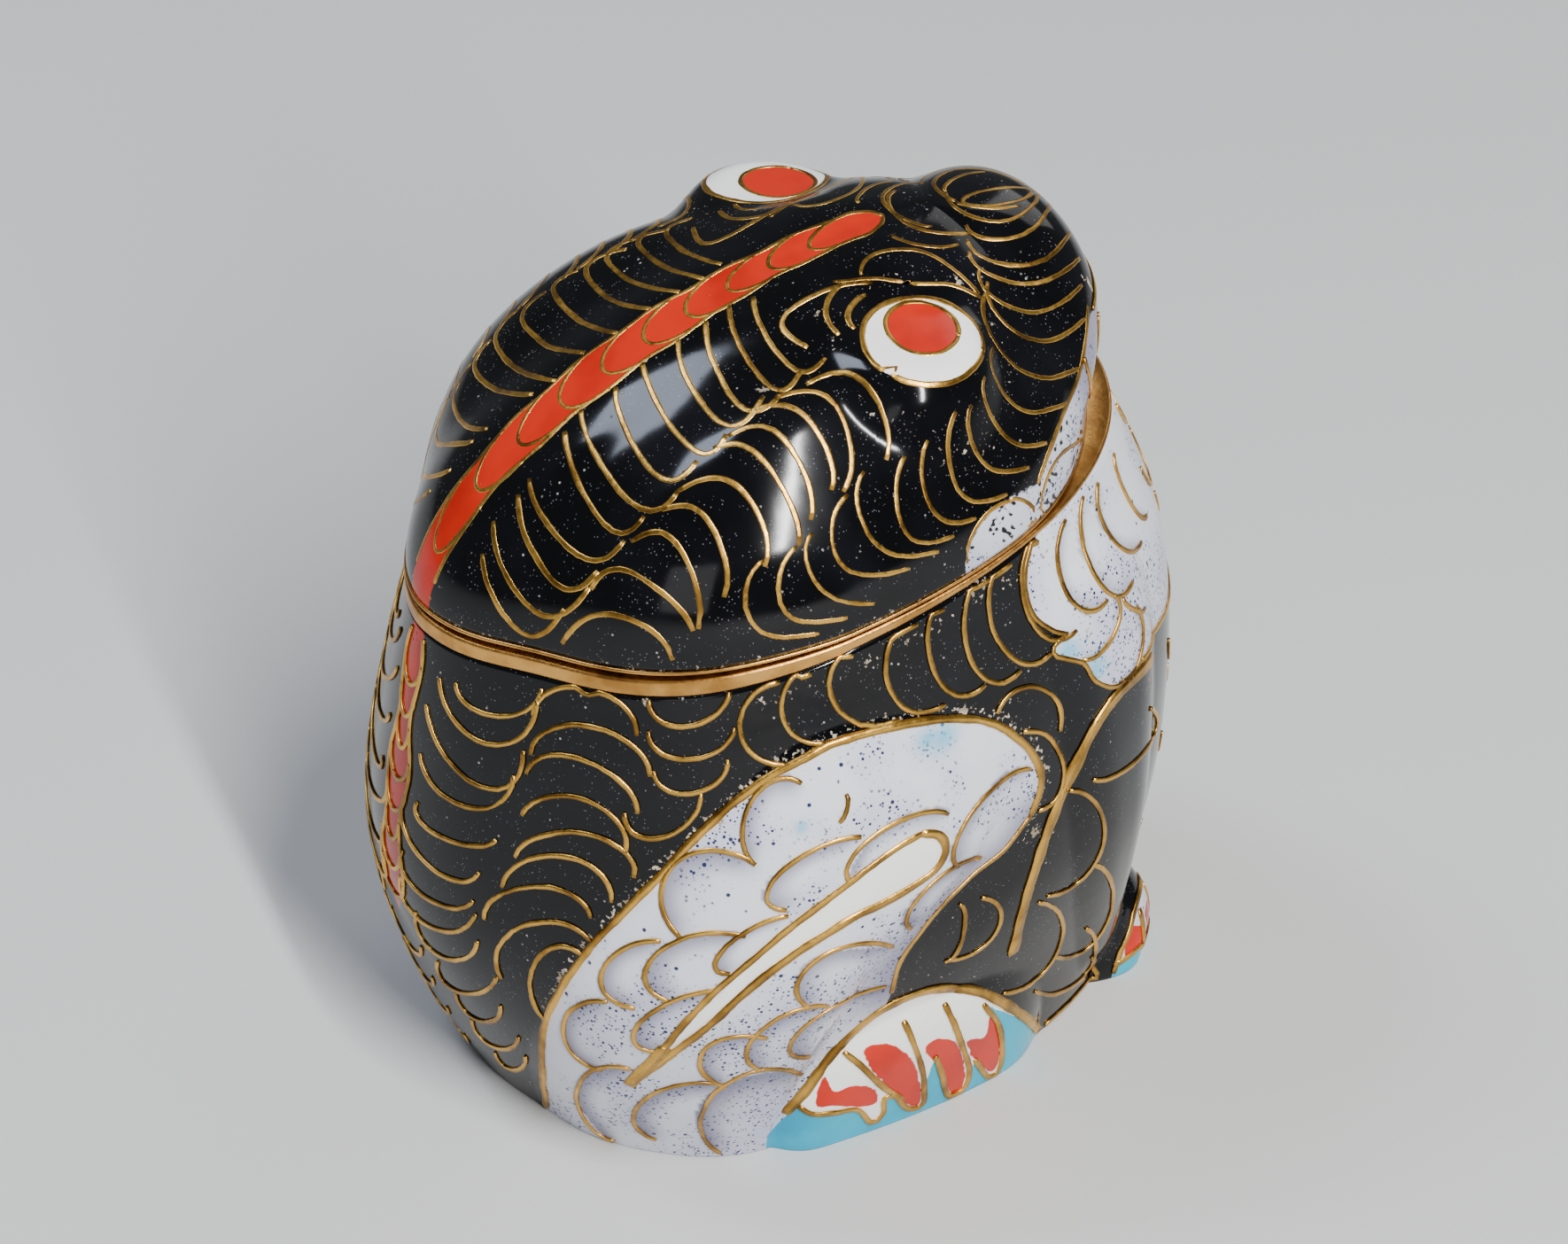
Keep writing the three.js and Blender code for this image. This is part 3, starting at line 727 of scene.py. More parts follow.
def fore_foot_lines():
    """The fore foot's arch, its base line and two toes."""
    a = np.linspace(0.1, np.pi - 0.1, 40)
    u, half = FORE_FOOT[0], FORE_FOOT[1] - FOOT_MARGIN
    high = FORE_FOOT[2] * (1 - FOOT_MARGIN / FORE_FOOT[1])
    arch = np.stack([u + half * np.cos(a), high * np.sin(a)], -1)
    toes = [smooth_line([(u + k, high * 0.86), (u + 1.15 * k, 2.6), (u + 1.1 * k, FORE_SOLE)])
            for k in (-1.4, 1.4)]
    waves = ((-half, 1.1), (-2.4, 1.45), (-1.5, 1.15), (0, 1.5), (1.5, 1.15), (2.4, 1.45), (half, 1.1))
    return [arch, smooth_line([(u + k, v) for k, v in waves])] + toes


def thin(paths):
    """The paths as fine wires, ground flush."""
    return [(path, FINE, FLUSH) for path in paths]


throat_corners = [(-2.0, THROAT_TOP), (throat_border[0][0], THROAT_TOP)]
THROAT_CELL = np.vstack([throat_border, THROAT_FOOT + throat_corners])
all_bows = np.concatenate([BACK_U, BACK_ARCH, UNDER_RIM, FRONT_ARCH, THIGH_BOWS, THROAT_BOWS])
body_lines = thin(body_seen(bow(*b)) for b in all_bows)
body_lines += [(thigh_border, 0.55, PROUD), (hairpin_top, BOLD + 0.04, FLUSH), (hairpin_low, 0.6, FLUSH)]
body_lines += [(thigh_front, FINE, FLUSH), (hairpin_bar, 0.95, PROUD), (foot_top, 0.7, PROUD)]
body_lines += [(foot_scallop, BOLD, PROUD), (foreleg_bar, BAR, PROUD), (throat_border, FINE, FLUSH)]
body_lines += [(path, BOLD, PROUD) for path in toe_wires]
body_lines += thin(hidden_front()) + [(path, BOLD, PROUD) for path in fore_foot_lines()]
back_edge = np.linspace(17.5, 40.4, 60)
body_lines += thin([np.stack([GIRTH - back_stripe_half(back_edge), back_edge], -1)])
body_lines = [(np.stack([path[:, 0], path[:, 1].clip(ABOVE_FLOOR)], -1), width, high)
              for path, width, high in body_lines]
body_lines = both_sides(body_lines, 0)
body_lines += thin(scale_at(0, v, 2.1, 2.4) for v in (39.4, 32.4, 24.6, 17.6, 10.6))
body_lines += thin(scale_at(GIRTH, v, 2.6, 2.2) for v in (3.6, 7.0, 10.4, 13.8))
body_lines += thin(scale_at(GIRTH, v, back_stripe_half(v), 2.2) for v in np.arange(19.5, 40, 2.7))
print(len(body_lines), "wires on the body")

# %% [markdown]
# ## The layout of the lid
# Three rows of scales run along each side: J-shaped ones that spring from the red stripe, arches
# that carry their line on over the shoulder, and hooks above the rim, which follow the snout
# round and close as loops about the nose.

# %% Lid lines, in picture points
LID_J = bows(
    545, 625, 587, 713, 637, 688,  557, 588, 603, 690, 665, 664,  585, 558, 625, 657, 675, 645,
    597, 540, 652, 626, 705, 610,  637, 487, 682, 591, 727, 582,  655, 462, 712, 567, 765, 554,
    695, 437, 738, 534, 787, 520,  725, 408, 778, 504, 820, 490,  765, 382, 812, 476, 862, 447,
    797, 362, 832, 455, 880, 447,  822, 345, 866, 434, 905, 417,  850, 335, 890, 412, 932, 404,
    985, 318, 888, 352, 912, 392,  955, 320, 932, 348, 947, 378,  978, 333, 957, 352, 965, 371)
LID_ARCH = bows(
    635, 727, 690, 693, 760, 745,  667, 665, 712, 646, 783, 712,  712, 611, 765, 615, 788, 710,
    747, 575, 800, 588, 817, 674,  765, 554, 835, 550, 864, 640,  805, 506, 862, 520, 902, 616,
    822, 492, 884, 494, 915, 587,  845, 465, 908, 470, 938, 553,  875, 449, 944, 458, 952, 555,
    910, 434, 975, 431, 1000, 519)
LID_HOOK = bows(
    862, 632, 850, 705, 925, 715,  900, 617, 886, 690, 957, 697,  918, 602, 925, 663, 987, 682,
    957, 558, 950, 637, 1027, 642,  975, 532, 988, 613, 1060, 622,  1022, 515, 1022, 600, 1077, 604,
    1047, 497, 1052, 575, 1102, 585,  1080, 465, 1082, 553, 1137, 557,  1097, 457, 1110, 522, 1162, 527,
    1112, 425, 1132, 490, 1182, 500,  1122, 392, 1146, 458, 1205, 455,  1112, 330, 1148, 415, 1220, 415,
    1115, 318, 1160, 382, 1225, 360,  1105, 304, 1158, 352, 1222, 322,  1094, 284, 1156, 320, 1219, 291,
    1092, 270, 1155, 300, 1209, 262,  1090, 254, 1146, 268, 1187, 230,  1067, 216, 1128, 250, 1180, 212,
    1012, 215, 1022, 252, 1095, 264,  1006, 264, 1042, 277, 1082, 276,  972, 310, 1032, 282, 1105, 332,
    1067, 216, 1080, 200, 1112, 194,  1178, 582, 1186, 530, 1222, 498,  1092, 636, 1106, 590, 1140, 566,
    1140, 566, 1166, 572, 1168, 598)
BROW_LINE = line(
    940, 318, 985, 314, 1030, 320, 1075, 322, 1108, 336)
LIP_LINE = line(
    1228, 345, 1226, 385, 1216, 430, 1199, 472, 1184, 512, 1172, 546)
LIP_PATCH = line(
    1172, 546, 1140, 562, 1114, 584, 1098, 608, 1090, 640)
NOSE_AT, NOSE_HALF, NOSE_TURN = (1126, 222), (40, 9), -7
EYE_AT, EYE_HALF, EYE_TURN = (1041.5, 385), (69, 49), 10
EYE_RED_AT, EYE_RED_HALF, EYE_RED_TURN = (1041, 370), (42, 29), 13
STRIPE_FROM, STRIPE_TO, LIP_TOP, LIP_CORNER = -20.6, 11.8, 0.34, 11.5
LID_CRUST_AT = line(
    470, 640, 464, 655, 1228, 318, 1084, 320, 925, 352, 612, 453, 860, 440)
LID_CRUST_SIZE = (0.8, 0.7, 0.5, 0.5, 0.4, 0.35, 0.5)


def oval(at, half, turned, n=48):
    """A turned oval of picture points, closed."""
    k, a = np.linspace(0, 2 * np.pi, n + 1), np.radians(turned)
    x, y = half[0] * np.cos(k), half[1] * np.sin(k)
    return np.stack([at[0] + x * np.cos(a) - y * np.sin(a), at[1] + x * np.sin(a) + y * np.cos(a)], -1)


def stripe_half(f):
    """Half the red stripe: narrower at the rim, and closing like an arch at the snout."""
    closing = np.sqrt(np.clip((STRIPE_TO - f) / 1.8, 0, 1))
    return (1.35 + 0.5 * bell(f, -7, 9) + 0.1 * np.sin(f * 1.3)) * closing


EYE_RING = lid_seen(oval(EYE_AT, EYE_HALF, EYE_TURN))
EYE_RED_RING = lid_seen(oval(EYE_RED_AT, EYE_RED_HALF, EYE_RED_TURN))
nose_ring = lid_seen(oval(NOSE_AT, NOSE_HALF, NOSE_TURN))
brow_line, lip_line, lip_patch = (lid_seen(smooth_line(path)) for path in (BROW_LINE, LIP_LINE, LIP_PATCH))
LIP_ZONE = np.vstack([
    [(40.0, 0.0), (lip_line[0][0], 0.0)], lip_line, lip_patch,
    [lip_patch[-1] + [-1, 4], (10.0, 30.0), (40.0, 30.0)]])
run = np.linspace(STRIPE_FROM, STRIPE_TO, 80)
stripe_side = np.stack([run, stripe_half(run)], -1)
stripe_scales = [bow((f + 1.7, -stripe_half(f + 1.7)), (f - 1.1, 0.25), (f + 1.5, stripe_half(f + 1.5)))
                 for f in np.arange(-18.6, 9.5, 2.9)]
lid_lines = [(lid_seen(bow(*b, flared)), width, FLUSH) for several, flared, width in
             ((LID_J, 1, 0.41), (LID_ARCH, -1, 0.41), (LID_HOOK, 1, 0.33)) for b in several]
lid_lines += thin([stripe_side, brow_line])
lid_lines += [(lip_line, 0.4, FLUSH), (EYE_RING, 0.42, PROUD), (EYE_RED_RING, 0.34, PROUD)]
lid_lines = both_sides(lid_lines, 1) + [(path, 0.3, FLUSH) for path in stripe_scales] + thin([nose_ring])

# %% Lip lines, on the steep front
brim = np.stack([np.linspace(0, 22, 60), np.full(60, LIP_TOP * PROFILE)], -1)
brim = brim[np.abs(on_lid_side(brim)[:, 0]) < lip_line[0][1]]
lip_scales = [scale_at(u, 6.3, 2.5, 4.8) for u in (5.4, 10.8, 0)]
lip_lines = both_sides([(brim, 0.4, FLUSH)] + thin(lip_scales[:-1]), 0) + thin(lip_scales[-1:])
print(len(lid_lines), "wires on the lid")


# %% [markdown]
# ## Materials
# Two finishes cover the box. Enamel is coloured glass: a smooth gloss over a colour that sits
# below it, with the pits, specks and slight waviness that hand polishing leaves. Gilt brass is
# metal that was plated and has worn to a warm, slightly dull gold.

# %% Node helpers
def linear(code):
    """An sRGB hex colour as the linear values that the shader wants."""
    c = np.array([int(code[i:i + 2], 16) for i in (1, 3, 5)]) / 255
    return (*np.where(c <= 0.04045, c / 12.92, ((c + 0.055) / 1.055) ** 2.4), 1.0)


def new_material(name):
    """A material with one Principled shader; gives the material, its node tree and the shader."""
    material = bpy.data.materials.new(name)
    material.use_nodes = True
    return material, material.node_tree, material.node_tree.nodes["Principled BSDF"]


def add(tree, kind, inputs=(), **settings):
    """Adds a node, sets its properties, and sets or links its inputs by name or number."""
    node = tree.nodes.new(kind)
    for key, value in settings.items():
        setattr(node, key, value)
    for key, value in dict(inputs).items():
        if isinstance(value, bpy.types.NodeSocket):
            tree.links.new(value, node.inputs[key])
        else:
            node.inputs[key].default_value = value
    return node


def smooth_step(tree, value, low, high):
    """A soft switch from zero to one between two values."""
    inputs = {0: value, 1: low, 2: high}
    return add(tree, "ShaderNodeMapRange", inputs, interpolation_type="SMOOTHSTEP").outputs[0]


def blend_colour(tree, share, a, b):
    """Colour b over colour a by a share."""
    return add(tree, "ShaderNodeMix", {0: share, 6: a, 7: b}, data_type="RGBA").outputs[2]


def arithmetic(tree, operation, *values):
    """One sum or product of numbers and sockets."""
    return add(tree, "ShaderNodeMath", dict(enumerate(values)), operation=operation).outputs[0]


def noise(tree, where, scale, detail):
    """Soft clouds, mostly between 0.3 and 0.7."""
    inputs = {"Vector": where, "Scale": scale, "Detail": detail}
    return add(tree, "ShaderNodeTexNoise", inputs).outputs["Fac"]


def grains(tree, where, scale):
    """Distance to the nearest of many scattered points."""
    return add(tree, "ShaderNodeTexVoronoi", {"Vector": where, "Scale": scale}).outputs["Distance"]


# %% Enamel
GLASS_IOR = 1.53


def fired_enamel():
    """Opaque fired glass: black ground, white, coral red and turquoise cells, polished by hand."""
    material, tree, shader = new_material("enamel_fired_and_polished")
    where = add(tree, "ShaderNodeTexCoord").outputs["Object"]
    field = {name: add(tree, "ShaderNodeAttribute", attribute_name=name).outputs["Fac"]
             for name in ("white", "red", "turquoise", "plain", "shade", "crust", "tint")}
    ragged = arithmetic(tree, "SUBTRACT", noise(tree, where, 1500.0, 2.0), 0.5)
    cloud, gate = noise(tree, where, 160.0, 3.0), noise(tree, where, 700.0, 1.0)

    def cell(name, amount=0.25):
        """One inside a colour's cells: their distance, made a little ragged, switched at zero."""
        return smooth_step(tree, arithmetic(tree, "MULTIPLY_ADD", ragged, amount, field[name]), -0.04, 0.04)

    def dots(scale, radius, gate, low, high):
        """Round dots, only where the gate's clouds are dense."""
        dot = smooth_step(tree, grains(tree, where, scale), radius, radius * 0.6)
        return arithmetic(tree, "MULTIPLY", dot, smooth_step(tree, gate, low, high))

    def clouded(a, b, low=0.35, high=0.7):
        """Two shades of one enamel."""
        return blend_colour(tree, smooth_step(tree, cloud, low, high), linear(a), linear(b))

    # White: greyed in the scales and towards the bottom, with painted shade along the groove at the thigh's
    # front edge, and dark specks everywhere but on the plain eyes and toes
    speck = dots(900.0, 0.17, gate, 0.47, 0.55)
    for scale, radius, low in ((1900.0, 0.26, 0.4), (3100.0, 0.3, 0.44)):
        speck = arithmetic(tree, "MAXIMUM", speck, dots(scale, radius, cloud, low, low + 0.12))
    speck = arithmetic(tree, "MULTIPLY", speck, arithmetic(tree, "SUBTRACT", 1.0, cell("plain", 0.0)))
    white = blend_colour(tree, cell("plain", 0.0), clouded("#e2e3ec", "#c6c7da"), linear("#fbfaf6"))
    white = blend_colour(tree, field["shade"], white, linear("#6f6d86"))
    white = blend_colour(tree, speck, white, linear("#272e55"))

    # Black: grey dust, and pits filled with pale polish
    pit = smooth_step(tree, grains(tree, where, 1500.0), 0.16, 0.06)
    pit = arithmetic(tree, "MULTIPLY", pit, smooth_step(tree, noise(tree, where, 450.0, 2.0), 0.56, 0.66))
    black = clouded("#050507", "#0d0d12", 0.4, 0.75)
    black = blend_colour(tree, dots(3600.0, 0.2, gate, 0.44, 0.56), black, linear("#5a5a60"))
    black = blend_colour(tree, pit, black, linear("#a19e99"))

    # The cells over the black ground, and dirt caked over all
    colour = blend_colour(tree, cell("white"), black, white)
    colour = blend_colour(tree, cell("red"), colour, clouded("#ca2610", "#ac1909"))
    colour = blend_colour(tree, cell("turquoise"), colour, clouded("#00b0cf", "#0092b8"))
    colour = blend_colour(tree, field["tint"], colour, linear("#58b7d6"))
    caked = arithmetic(tree, "MULTIPLY_ADD", field["crust"], 0.4, noise(tree, where, 3000.0, 3.0))
    caked = smooth_step(tree, caked, 0.8, 0.88)
    dirt = blend_colour(tree, smooth_step(tree, gate, 0.4, 0.6), linear("#c3b7a4"), linear("#8d7f6c"))
    tree.links.new(blend_colour(tree, caked, colour, dirt), shader.inputs["Base Color"])

    # Gloss: even, dull in pits and dirt, and slightly wavy from the stone
    rough = add(tree, "ShaderNodeMapRange", {0: cloud, 1: 0.3, 2: 0.7, 3: 0.07, 4: 0.14}).outputs[0]
    rough = arithmetic(tree, "MULTIPLY_ADD", pit, 0.5, rough)
    tree.links.new(arithmetic(tree, "MULTIPLY_ADD", caked, 0.6, rough), shader.inputs["Roughness"])
    shader.inputs["IOR"].default_value = GLASS_IOR
    shader.inputs["Specular IOR Level"].default_value = 0.28
    wave = {"Height": noise(tree, where, 260.0, 2.0), "Strength": 0.25, "Distance": 0.0001}
    soft = add(tree, "ShaderNodeBump", wave).outputs[0]
    dents = {"Height": pit, "Strength": 0.5, "Distance": 0.00008, "Normal": soft}
    tree.links.new(add(tree, "ShaderNodeBump", dents, invert=True).outputs[0], shader.inputs["Normal"])
    return material


def lining_enamel():
    """Turquoise counter enamel, which keeps the copper from warping: thin, with pinholes."""
    material, tree, shader = new_material("enamel_counter_coat")
    where = add(tree, "ShaderNodeTexCoord").outputs["Object"]
    cloud = noise(tree, where, 220.0, 4.0)
    holes = smooth_step(tree, grains(tree, where, 500.0), 0.1, 0.05)
    colour = blend_colour(tree, smooth_step(tree, cloud, 0.35, 0.7), linear("#4fb6c9"), linear("#3796ad"))
    tree.links.new(blend_colour(tree, holes, colour, linear("#1f4a55")), shader.inputs["Base Color"])
    shader.inputs["Roughness"].default_value = 0.25
    shader.inputs["IOR"].default_value = GLASS_IOR
    bump = add(tree, "ShaderNodeBump", {"Height": cloud, "Strength": 0.4, "Distance": 0.0002})
    tree.links.new(bump.outputs[0], shader.inputs["Normal"])
    return material


# %% Gilt brass
def gilt_brass(name, bright, dull, low, high):
    """Gilt wire and rim: bright where it is rubbed, browner where plating is worn or grime sits."""
    material, tree, shader = new_material(name)
    where = add(tree, "ShaderNodeTexCoord").outputs["Object"]
    cloud, grain = noise(tree, where, 300.0, 4.0), noise(tree, where, 2600.0, 2.0)
    colour = blend_colour(tree, smooth_step(tree, cloud, 0.38, 0.68), linear(bright), linear(dull))
    rough = add(tree, "ShaderNodeMapRange", {0: grain, 1: 0.3, 2: 0.7, 3: low, 4: high}).outputs[0]
    bump = add(tree, "ShaderNodeBump", {"Height": grain, "Strength": 0.35, "Distance": 0.00006})
    for value, socket in ((colour, "Base Color"), (rough, "Roughness"), (bump.outputs[0], "Normal")):
        tree.links.new(value, shader.inputs[socket])
    shader.inputs["Metallic"].default_value = 1.0
    return material


ENAMEL, LINING = fired_enamel(), lining_enamel()
WIRE = gilt_brass("gilt_wire_ground_flush", "#e2b052", "#8f682c", 0.26, 0.42)
RIM = gilt_brass("gilt_rim_rubbed", "#dda659", "#a8763a", 0.28, 0.42)

# %% [markdown]
# ## The body
# The outer skin is fine enough for every limb's slope, the lining is coarser, and the two meet
# under the gilt band. Each colour is stored as a distance to its cell's border, so the shader
# draws a sharp edge even between points.

# %% Body shell
AROUND, ROWS, INNER_ROWS = 576, 150, 8
theta = np.linspace(0, 2 * np.pi, AROUND, endpoint=False)
V, T = np.meshgrid(theta, np.linspace(0, 1, ROWS) ** 1.1)
outer = body_at(V, T)
inner = body_at(*np.meshgrid(theta, np.linspace(1, 0, INNER_ROWS)), inset=WALL, bottom=FLOOR)
tips = place(0, 0, 0)[None], place(0, 0, FLOOR)[None]
points = np.vstack([tips[0], outer.reshape(-1, 3), inner.reshape(-1, 3), tips[1]])
faces, bands = ring_faces([1] + [AROUND] * (ROWS + INNER_ROWS) + [1])
body = new_piece("body_enamel", points, faces, [ENAMEL, LINING])
index = np.repeat(np.arange(len(bands)), bands)
body.data.polygons.foreach_set("material_index", ((index == 0) | (index > ROWS)).astype(int))
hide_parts("body")


# %% Colour cells of the body
OUTSIDE = -9.0


def add_fields(piece, fields, before, after, empty):
    """Adds fields of the outer skin, with the value empty on the points that have no cells."""
    for name, values in fields.items():
        ends = [np.full(n, empty) for n in (before, after)]
        add_field(piece, name, np.concatenate([ends[0], np.ravel(values), ends[1]]))


def line_distance(path, u, v):
    """Distance to the nearest point of a path."""
    best = np.full(np.shape(u), -OUTSIDE)
    for p in path:
        best = np.minimum(best, np.hypot(u - p[0], v - p[1]))
    return best


def spots(places, sizes, u, v):
    """One at each place, falling away over its size in millimetres."""
    best = np.zeros(np.shape(u))
    for p, size in zip(places, sizes):
        best = np.maximum(best, bell(np.hypot(u - p[0], v - p[1]), 0, size))
    return best


def shading(bows, u, v, reach):
    """Grey that gathers inside each bow, strongest at its wire and gone towards its middle."""
    grey = np.zeros(np.shape(u))
    for a, deep, b in bows:
        a, deep, b = (np.array(p, float) for p in (a, deep, b))
        middle = (a + b) / 2
        m = np.linalg.inv(np.stack([a - middle, deep - middle], -1))
        x = m[0, 0] * (u - middle[0]) + m[0, 1] * (v - middle[1])
        y = m[1, 0] * (u - middle[0]) + m[1, 1] * (v - middle[1])
        rho = np.hypot(x, y)
        grey = np.maximum(grey, np.where(rho < 1.03, ease(rho, 1 - reach, 1.0), 0) * ease(y, -0.25, 0.35))
    return grey


u, v = GIRTH * from_front(V) / 180, HEIGHT * T
on_right, toe_step = V % (2 * np.pi) < np.pi, 2.5
thigh, throat, foot = (inside(cell, u, v) for cell in (THIGH_CELL, THROAT_CELL, HIND_FOOT_CELL))
fore = -foot_distance(u, v, FORE_FOOT) - FOOT_MARGIN
red = np.min([back_stripe_half(v) - (GIRTH - u), STRIPE_TOP - v, v - STRIPE_FOOT], axis=0)
for toe in RED_TOE_CELLS:
    red = np.maximum(red, inside(toe, u, v))
fore_toes = 0.95 - np.min([np.abs(u - FORE_FOOT[0] - k * toe_step) for k in (-1, 0, 1)], axis=0)
red = np.maximum(red, np.min([fore, fore_toes, 0.3 * np.sin(u * 2.1) + 3.1 - v], axis=0))
after = INNER_ROWS * AROUND + 1
add_fields(body, {
    "white": np.max([thigh, throat, foot, fore], axis=0), "red": red,
    "turquoise": np.maximum(inside(TURQUOISE_CELL, u, v), np.minimum(fore, FORE_SOLE - v)),
    "plain": np.maximum(inside(HAIRPIN_CELL, u, v), foot)}, 1, after, OUTSIDE)

# %% Shade, dirt and tint of the body
shade = 0.8 * shading(THIGH_SCALES, u, v, 0.6) + 0.55 * shading(THROAT_SCALES, u, v, 0.45)
# The band along the thigh's front edge is painted shade of the groove there; the white cells also grey
# towards the bottom
shade += (0.75 * bell(line_distance(thigh_front, u, v), 0, 1.7) + 0.15 * ease(v, 20, 8)) * (foot < 0)
crust = 0.72 * bell(line_distance(thigh_border, u, v), 0.45, 0.4) * (thigh < 0) * ease(v, 8, 16)
crust += 0.5 * bell(v, 39.8, 0.8) * ease(u, 52, 40) * ease(u, 12, 22)
caked = on_right * spots(body_seen(CRUST_AT), CRUST_SIZE, u, v) * (foot < 0.3)
tint = on_right * spots(body_seen(TINT_AT), TINT_SIZE, u, v) * ease(np.maximum(thigh, throat), 0, 0.2)
fields = {"shade": np.clip(shade, 0, 1), "crust": np.maximum(crust, 0.95 * caked), "tint": 0.8 * tint}
add_fields(body, fields, 1, after, 0.0)
print("thigh covers", round(float((thigh > 0).mean()) * 100, 1), "% of the wall's points")

# %% [markdown]
# ## The lid
# The lid's skin and lining are stacks of rings too, from one crown down to the edge and up to the
# other crown. Its cells are the red stripe, the flat eyes and the white lip, whose border is
# mottled at the corner of the mouth where black and white glass ran together.

# %% Lid shell
LID_ROWS, LID_INNER = 104, 7
V, T = np.meshgrid(theta, np.linspace(0, 1, LID_ROWS + 1)[:-1])
outer = lid_at(V, T)
inner = lid_at(*np.meshgrid(theta, np.linspace(1, 0, LID_INNER + 1)[1:]), WALL)
tips = lid_at(np.zeros(1), np.ones(1), WALL), lid_at(np.zeros(1), np.ones(1))
points = np.vstack([tips[0], inner.reshape(-1, 3), outer.reshape(-1, 3), tips[1]])
faces, bands = ring_faces([1] + [AROUND] * (LID_INNER + LID_ROWS) + [1])
lid = new_piece("lid_enamel", points, faces, [ENAMEL, LINING])
index = np.repeat(np.arange(len(bands)), bands)
lid.data.polygons.foreach_set("material_index", (index < LID_INNER).astype(int))
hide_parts("lid")

# %% Colour cells of the lid
x, y, z = np.moveaxis(outer, -1, 0)
f, r, before = MIDDLE - y, np.abs(x), 1 + LID_INNER * AROUND
stripe = np.minimum(stripe_half(f) - r, STRIPE_TO - f)
eye_white, eye_red = inside(EYE_RING[:-1], f, r), inside(EYE_RED_RING[:-1], f, r)
lip = np.minimum(inside(LIP_ZONE, f, r), 9 * (LIP_TOP + 0.1 * ease(r, 12, 15) - T))
blotch = np.sin(z * 4.3 + 2 * np.sin(y * 3.1)) * np.sin(y * 4.7 + 1.7 * np.sin(z * 3.7))
lip = np.where(r > LIP_CORNER, np.minimum(lip, 0.3 * (0.55 - blotch)), lip)
add_fields(lid, {
    "white": np.maximum(eye_white, lip),
    "red": np.maximum(stripe, eye_red),
    "turquoise": np.full(f.shape, OUTSIDE),
    "plain": eye_white}, before, 1, OUTSIDE)

# %% Shade and dirt of the lid
crust = (x < 0) * spots(lid_seen(LID_CRUST_AT), LID_CRUST_SIZE, f, r)
low = 0.5 * bell(T, 0.0, 0.03) * ease(np.degrees(V) % 360, 20, 60) * (x < 0)
from_eye = np.hypot(f - EYE_RING[:, 0].mean(), r - EYE_RING[:, 1].mean())
add_fields(lid, {
    "shade": mix(0.85, 0.25, ease(r, 11, 13)) * (lip > -0.2) * (eye_white < 0),
    "crust": np.max([crust, low, 0.42 * bell(from_eye, 5.6, 0.8)], axis=0),
    "tint": np.zeros(f.shape)}, before, 1, 0.0)

# %% Wires
wire_points, wire_faces = wires(on_body, body_lines)
new_piece("body_wires", wire_points, wire_faces, [WIRE])
wire_points, wire_faces = wires(on_lid, lid_lines, -1.0)
lip_points, lip_faces = wires(on_lid_side, lip_lines)
wire_faces += [[k + len(wire_points) for k in face] for face in lip_faces]
new_piece("lid_wires", np.vstack([wire_points, lip_points]), wire_faces, [WIRE])


# %% [markdown]
# ## The gilt rims
# The body ends in a flat brass band with a low collar inside it, the lid in a thin edge. The
# enamel has crept up over the band towards the front, so the band narrows there. Its edges are
# rounded by handling, which is what makes the long bright line along the joint.

# %% Rims
def rim(name, profile, node):
    """Carries a profile of (edge function, inset, height above the joint) round the mouth."""
    rings = []
    for edge, inset, height in profile:
        f, r = edge(theta, inset)
        rings.append(place(f, r, joint_height(f) + height))
    faces, _ = ring_faces([AROUND] * len(rings))
    piece = new_piece(name, np.vstack(rings), faces, [RIM])
    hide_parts(node)


def mouth(theta, inset):
    """The body's outline at the joint."""
    return outline(theta, np.ones_like(theta), -inset)


def rounded(edge, inset, low, high, radius):
    """The outer side of a band, with both edges rounded by quarter circles."""
    turns = [(radius * (1 - np.sin(a)), radius * (1 - np.cos(a))) for a in np.linspace(0, np.pi / 2, 6)]
    bottom = [(edge, inset + sine, low + cosine) for sine, cosine in turns]
    return bottom + [(edge, inset + cosine, high - sine) for sine, cosine in turns]


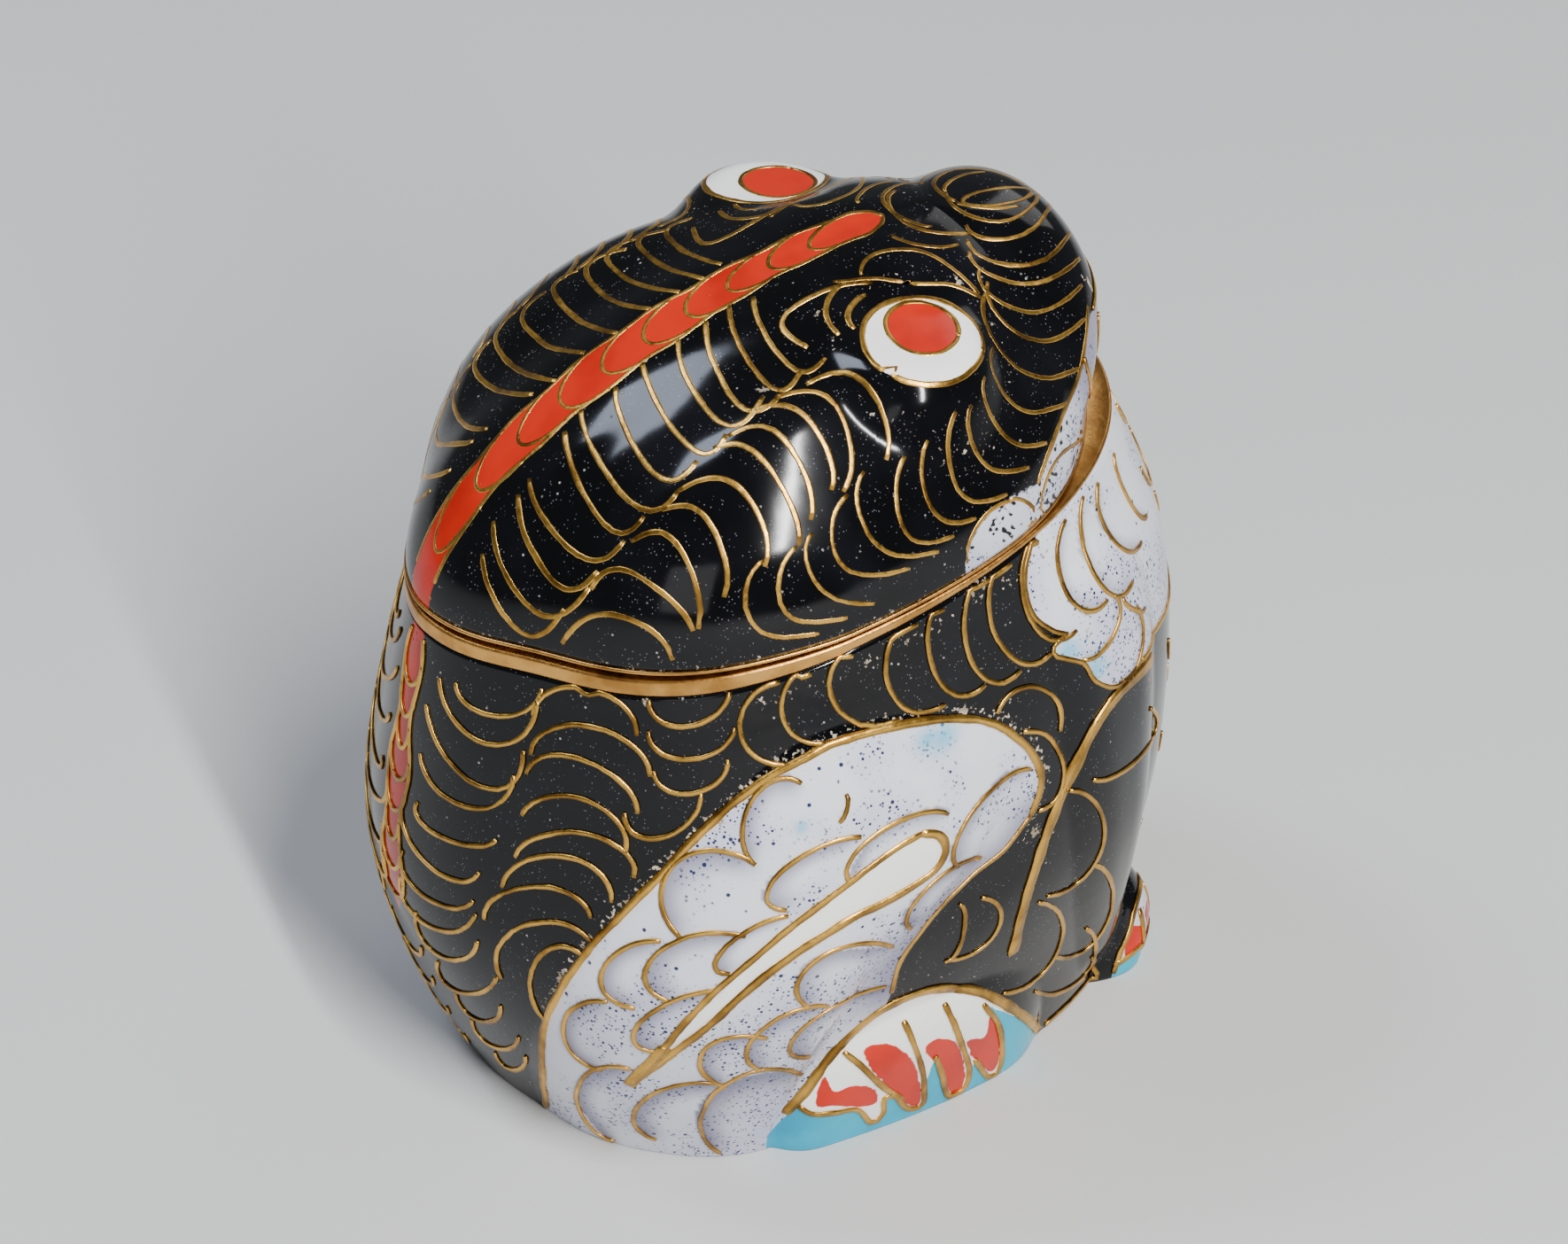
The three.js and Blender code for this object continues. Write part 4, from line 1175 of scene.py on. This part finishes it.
collar, bevel, low = WALL + COLLAR_CLEARANCE, 0.15, -band_height(theta)
inner_side = collar + COLLAR_WALL
rim("body_band", rounded(mouth, -RIM_PROUD, low, 0, 0.22) + [
    (lid_edge, collar, 0),
    (lid_edge, collar, COLLAR_HEIGHT - bevel),
    (lid_edge, collar + bevel, COLLAR_HEIGHT),
    (lid_edge, inner_side - bevel, COLLAR_HEIGHT),
    (lid_edge, inner_side, COLLAR_HEIGHT - bevel),
    (lid_edge, inner_side, low)], "body_rim")
gap = lid_gap(theta)
rim("lid_band", rounded(lid_edge, -RIM_PROUD, gap, gap + LID_LINE, 0.1) + [
    (lid_edge, WALL, gap + LID_LINE), (lid_edge, WALL, gap)], "lid_rim")

# %% [markdown]
# ## Floor and light
# A pale studio floor and four soft boxes: a long strip on the right that draws the streaks along
# the shoulder, a cool one over the back, and two wide fills.

# %% Stage
floor_mesh, far = bpy.data.meshes.new("floor"), 3
corners = [(-far, -far, 0), (far, -far, 0), (far, far, 0), (-far, far, 0)]
floor_mesh.from_pydata(corners, [], [(0, 1, 2, 3)])
floor = show("floor", floor_mesh)
paper, tree, shader = new_material("studio_paper")
shader.inputs["Base Color"].default_value = linear("#cdcdcb")
shader.inputs["Roughness"].default_value = 0.8
floor_mesh.materials.append(paper)


def soft_box(name, direction, distance, size, power, colour="#ffffff", long_way=(0, 0, 1)):
    """An area light, width by length in metres, at a distance along a direction, facing the frog."""
    data = bpy.data.lights.new(name, "AREA")
    data.shape, data.size, data.size_y = "RECTANGLE", *size
    data.energy, data.color = power, linear(colour)[:3]
    lamp = show(name, data)
    way = Vector(direction).normalized()
    across = Vector(long_way).cross(way).normalized()
    lamp.location = Vector((0, 0, 0.03)) + way * distance
    lamp.rotation_euler = Matrix((across, way.cross(across), way)).transposed().to_euler()


soft_box("key_light", (-0.67, 0.02, 0.74), 0.6, (0.024, 0.5), 6.6, long_way=(0.49, -0.13, 0.55))
soft_box("back_light", (0.35, 0.37, 0.85), 0.7, (0.2, 0.2), 1.9, "#dfeaff")
soft_box("side_fill", (-0.9, 0.8, 0.3), 1.2, (0.5, 0.5), 1.2)
soft_box("front_fill", (0.55, -0.8, 0.6), 1.2, (0.6, 0.6), 1.7)
world = bpy.data.worlds.new("studio")
world.use_nodes = True
world.node_tree.nodes["Background"].inputs[0].default_value = linear("#dfe3e8")
world.node_tree.nodes["Background"].inputs[1].default_value = 0.2
bpy.context.scene.world = world
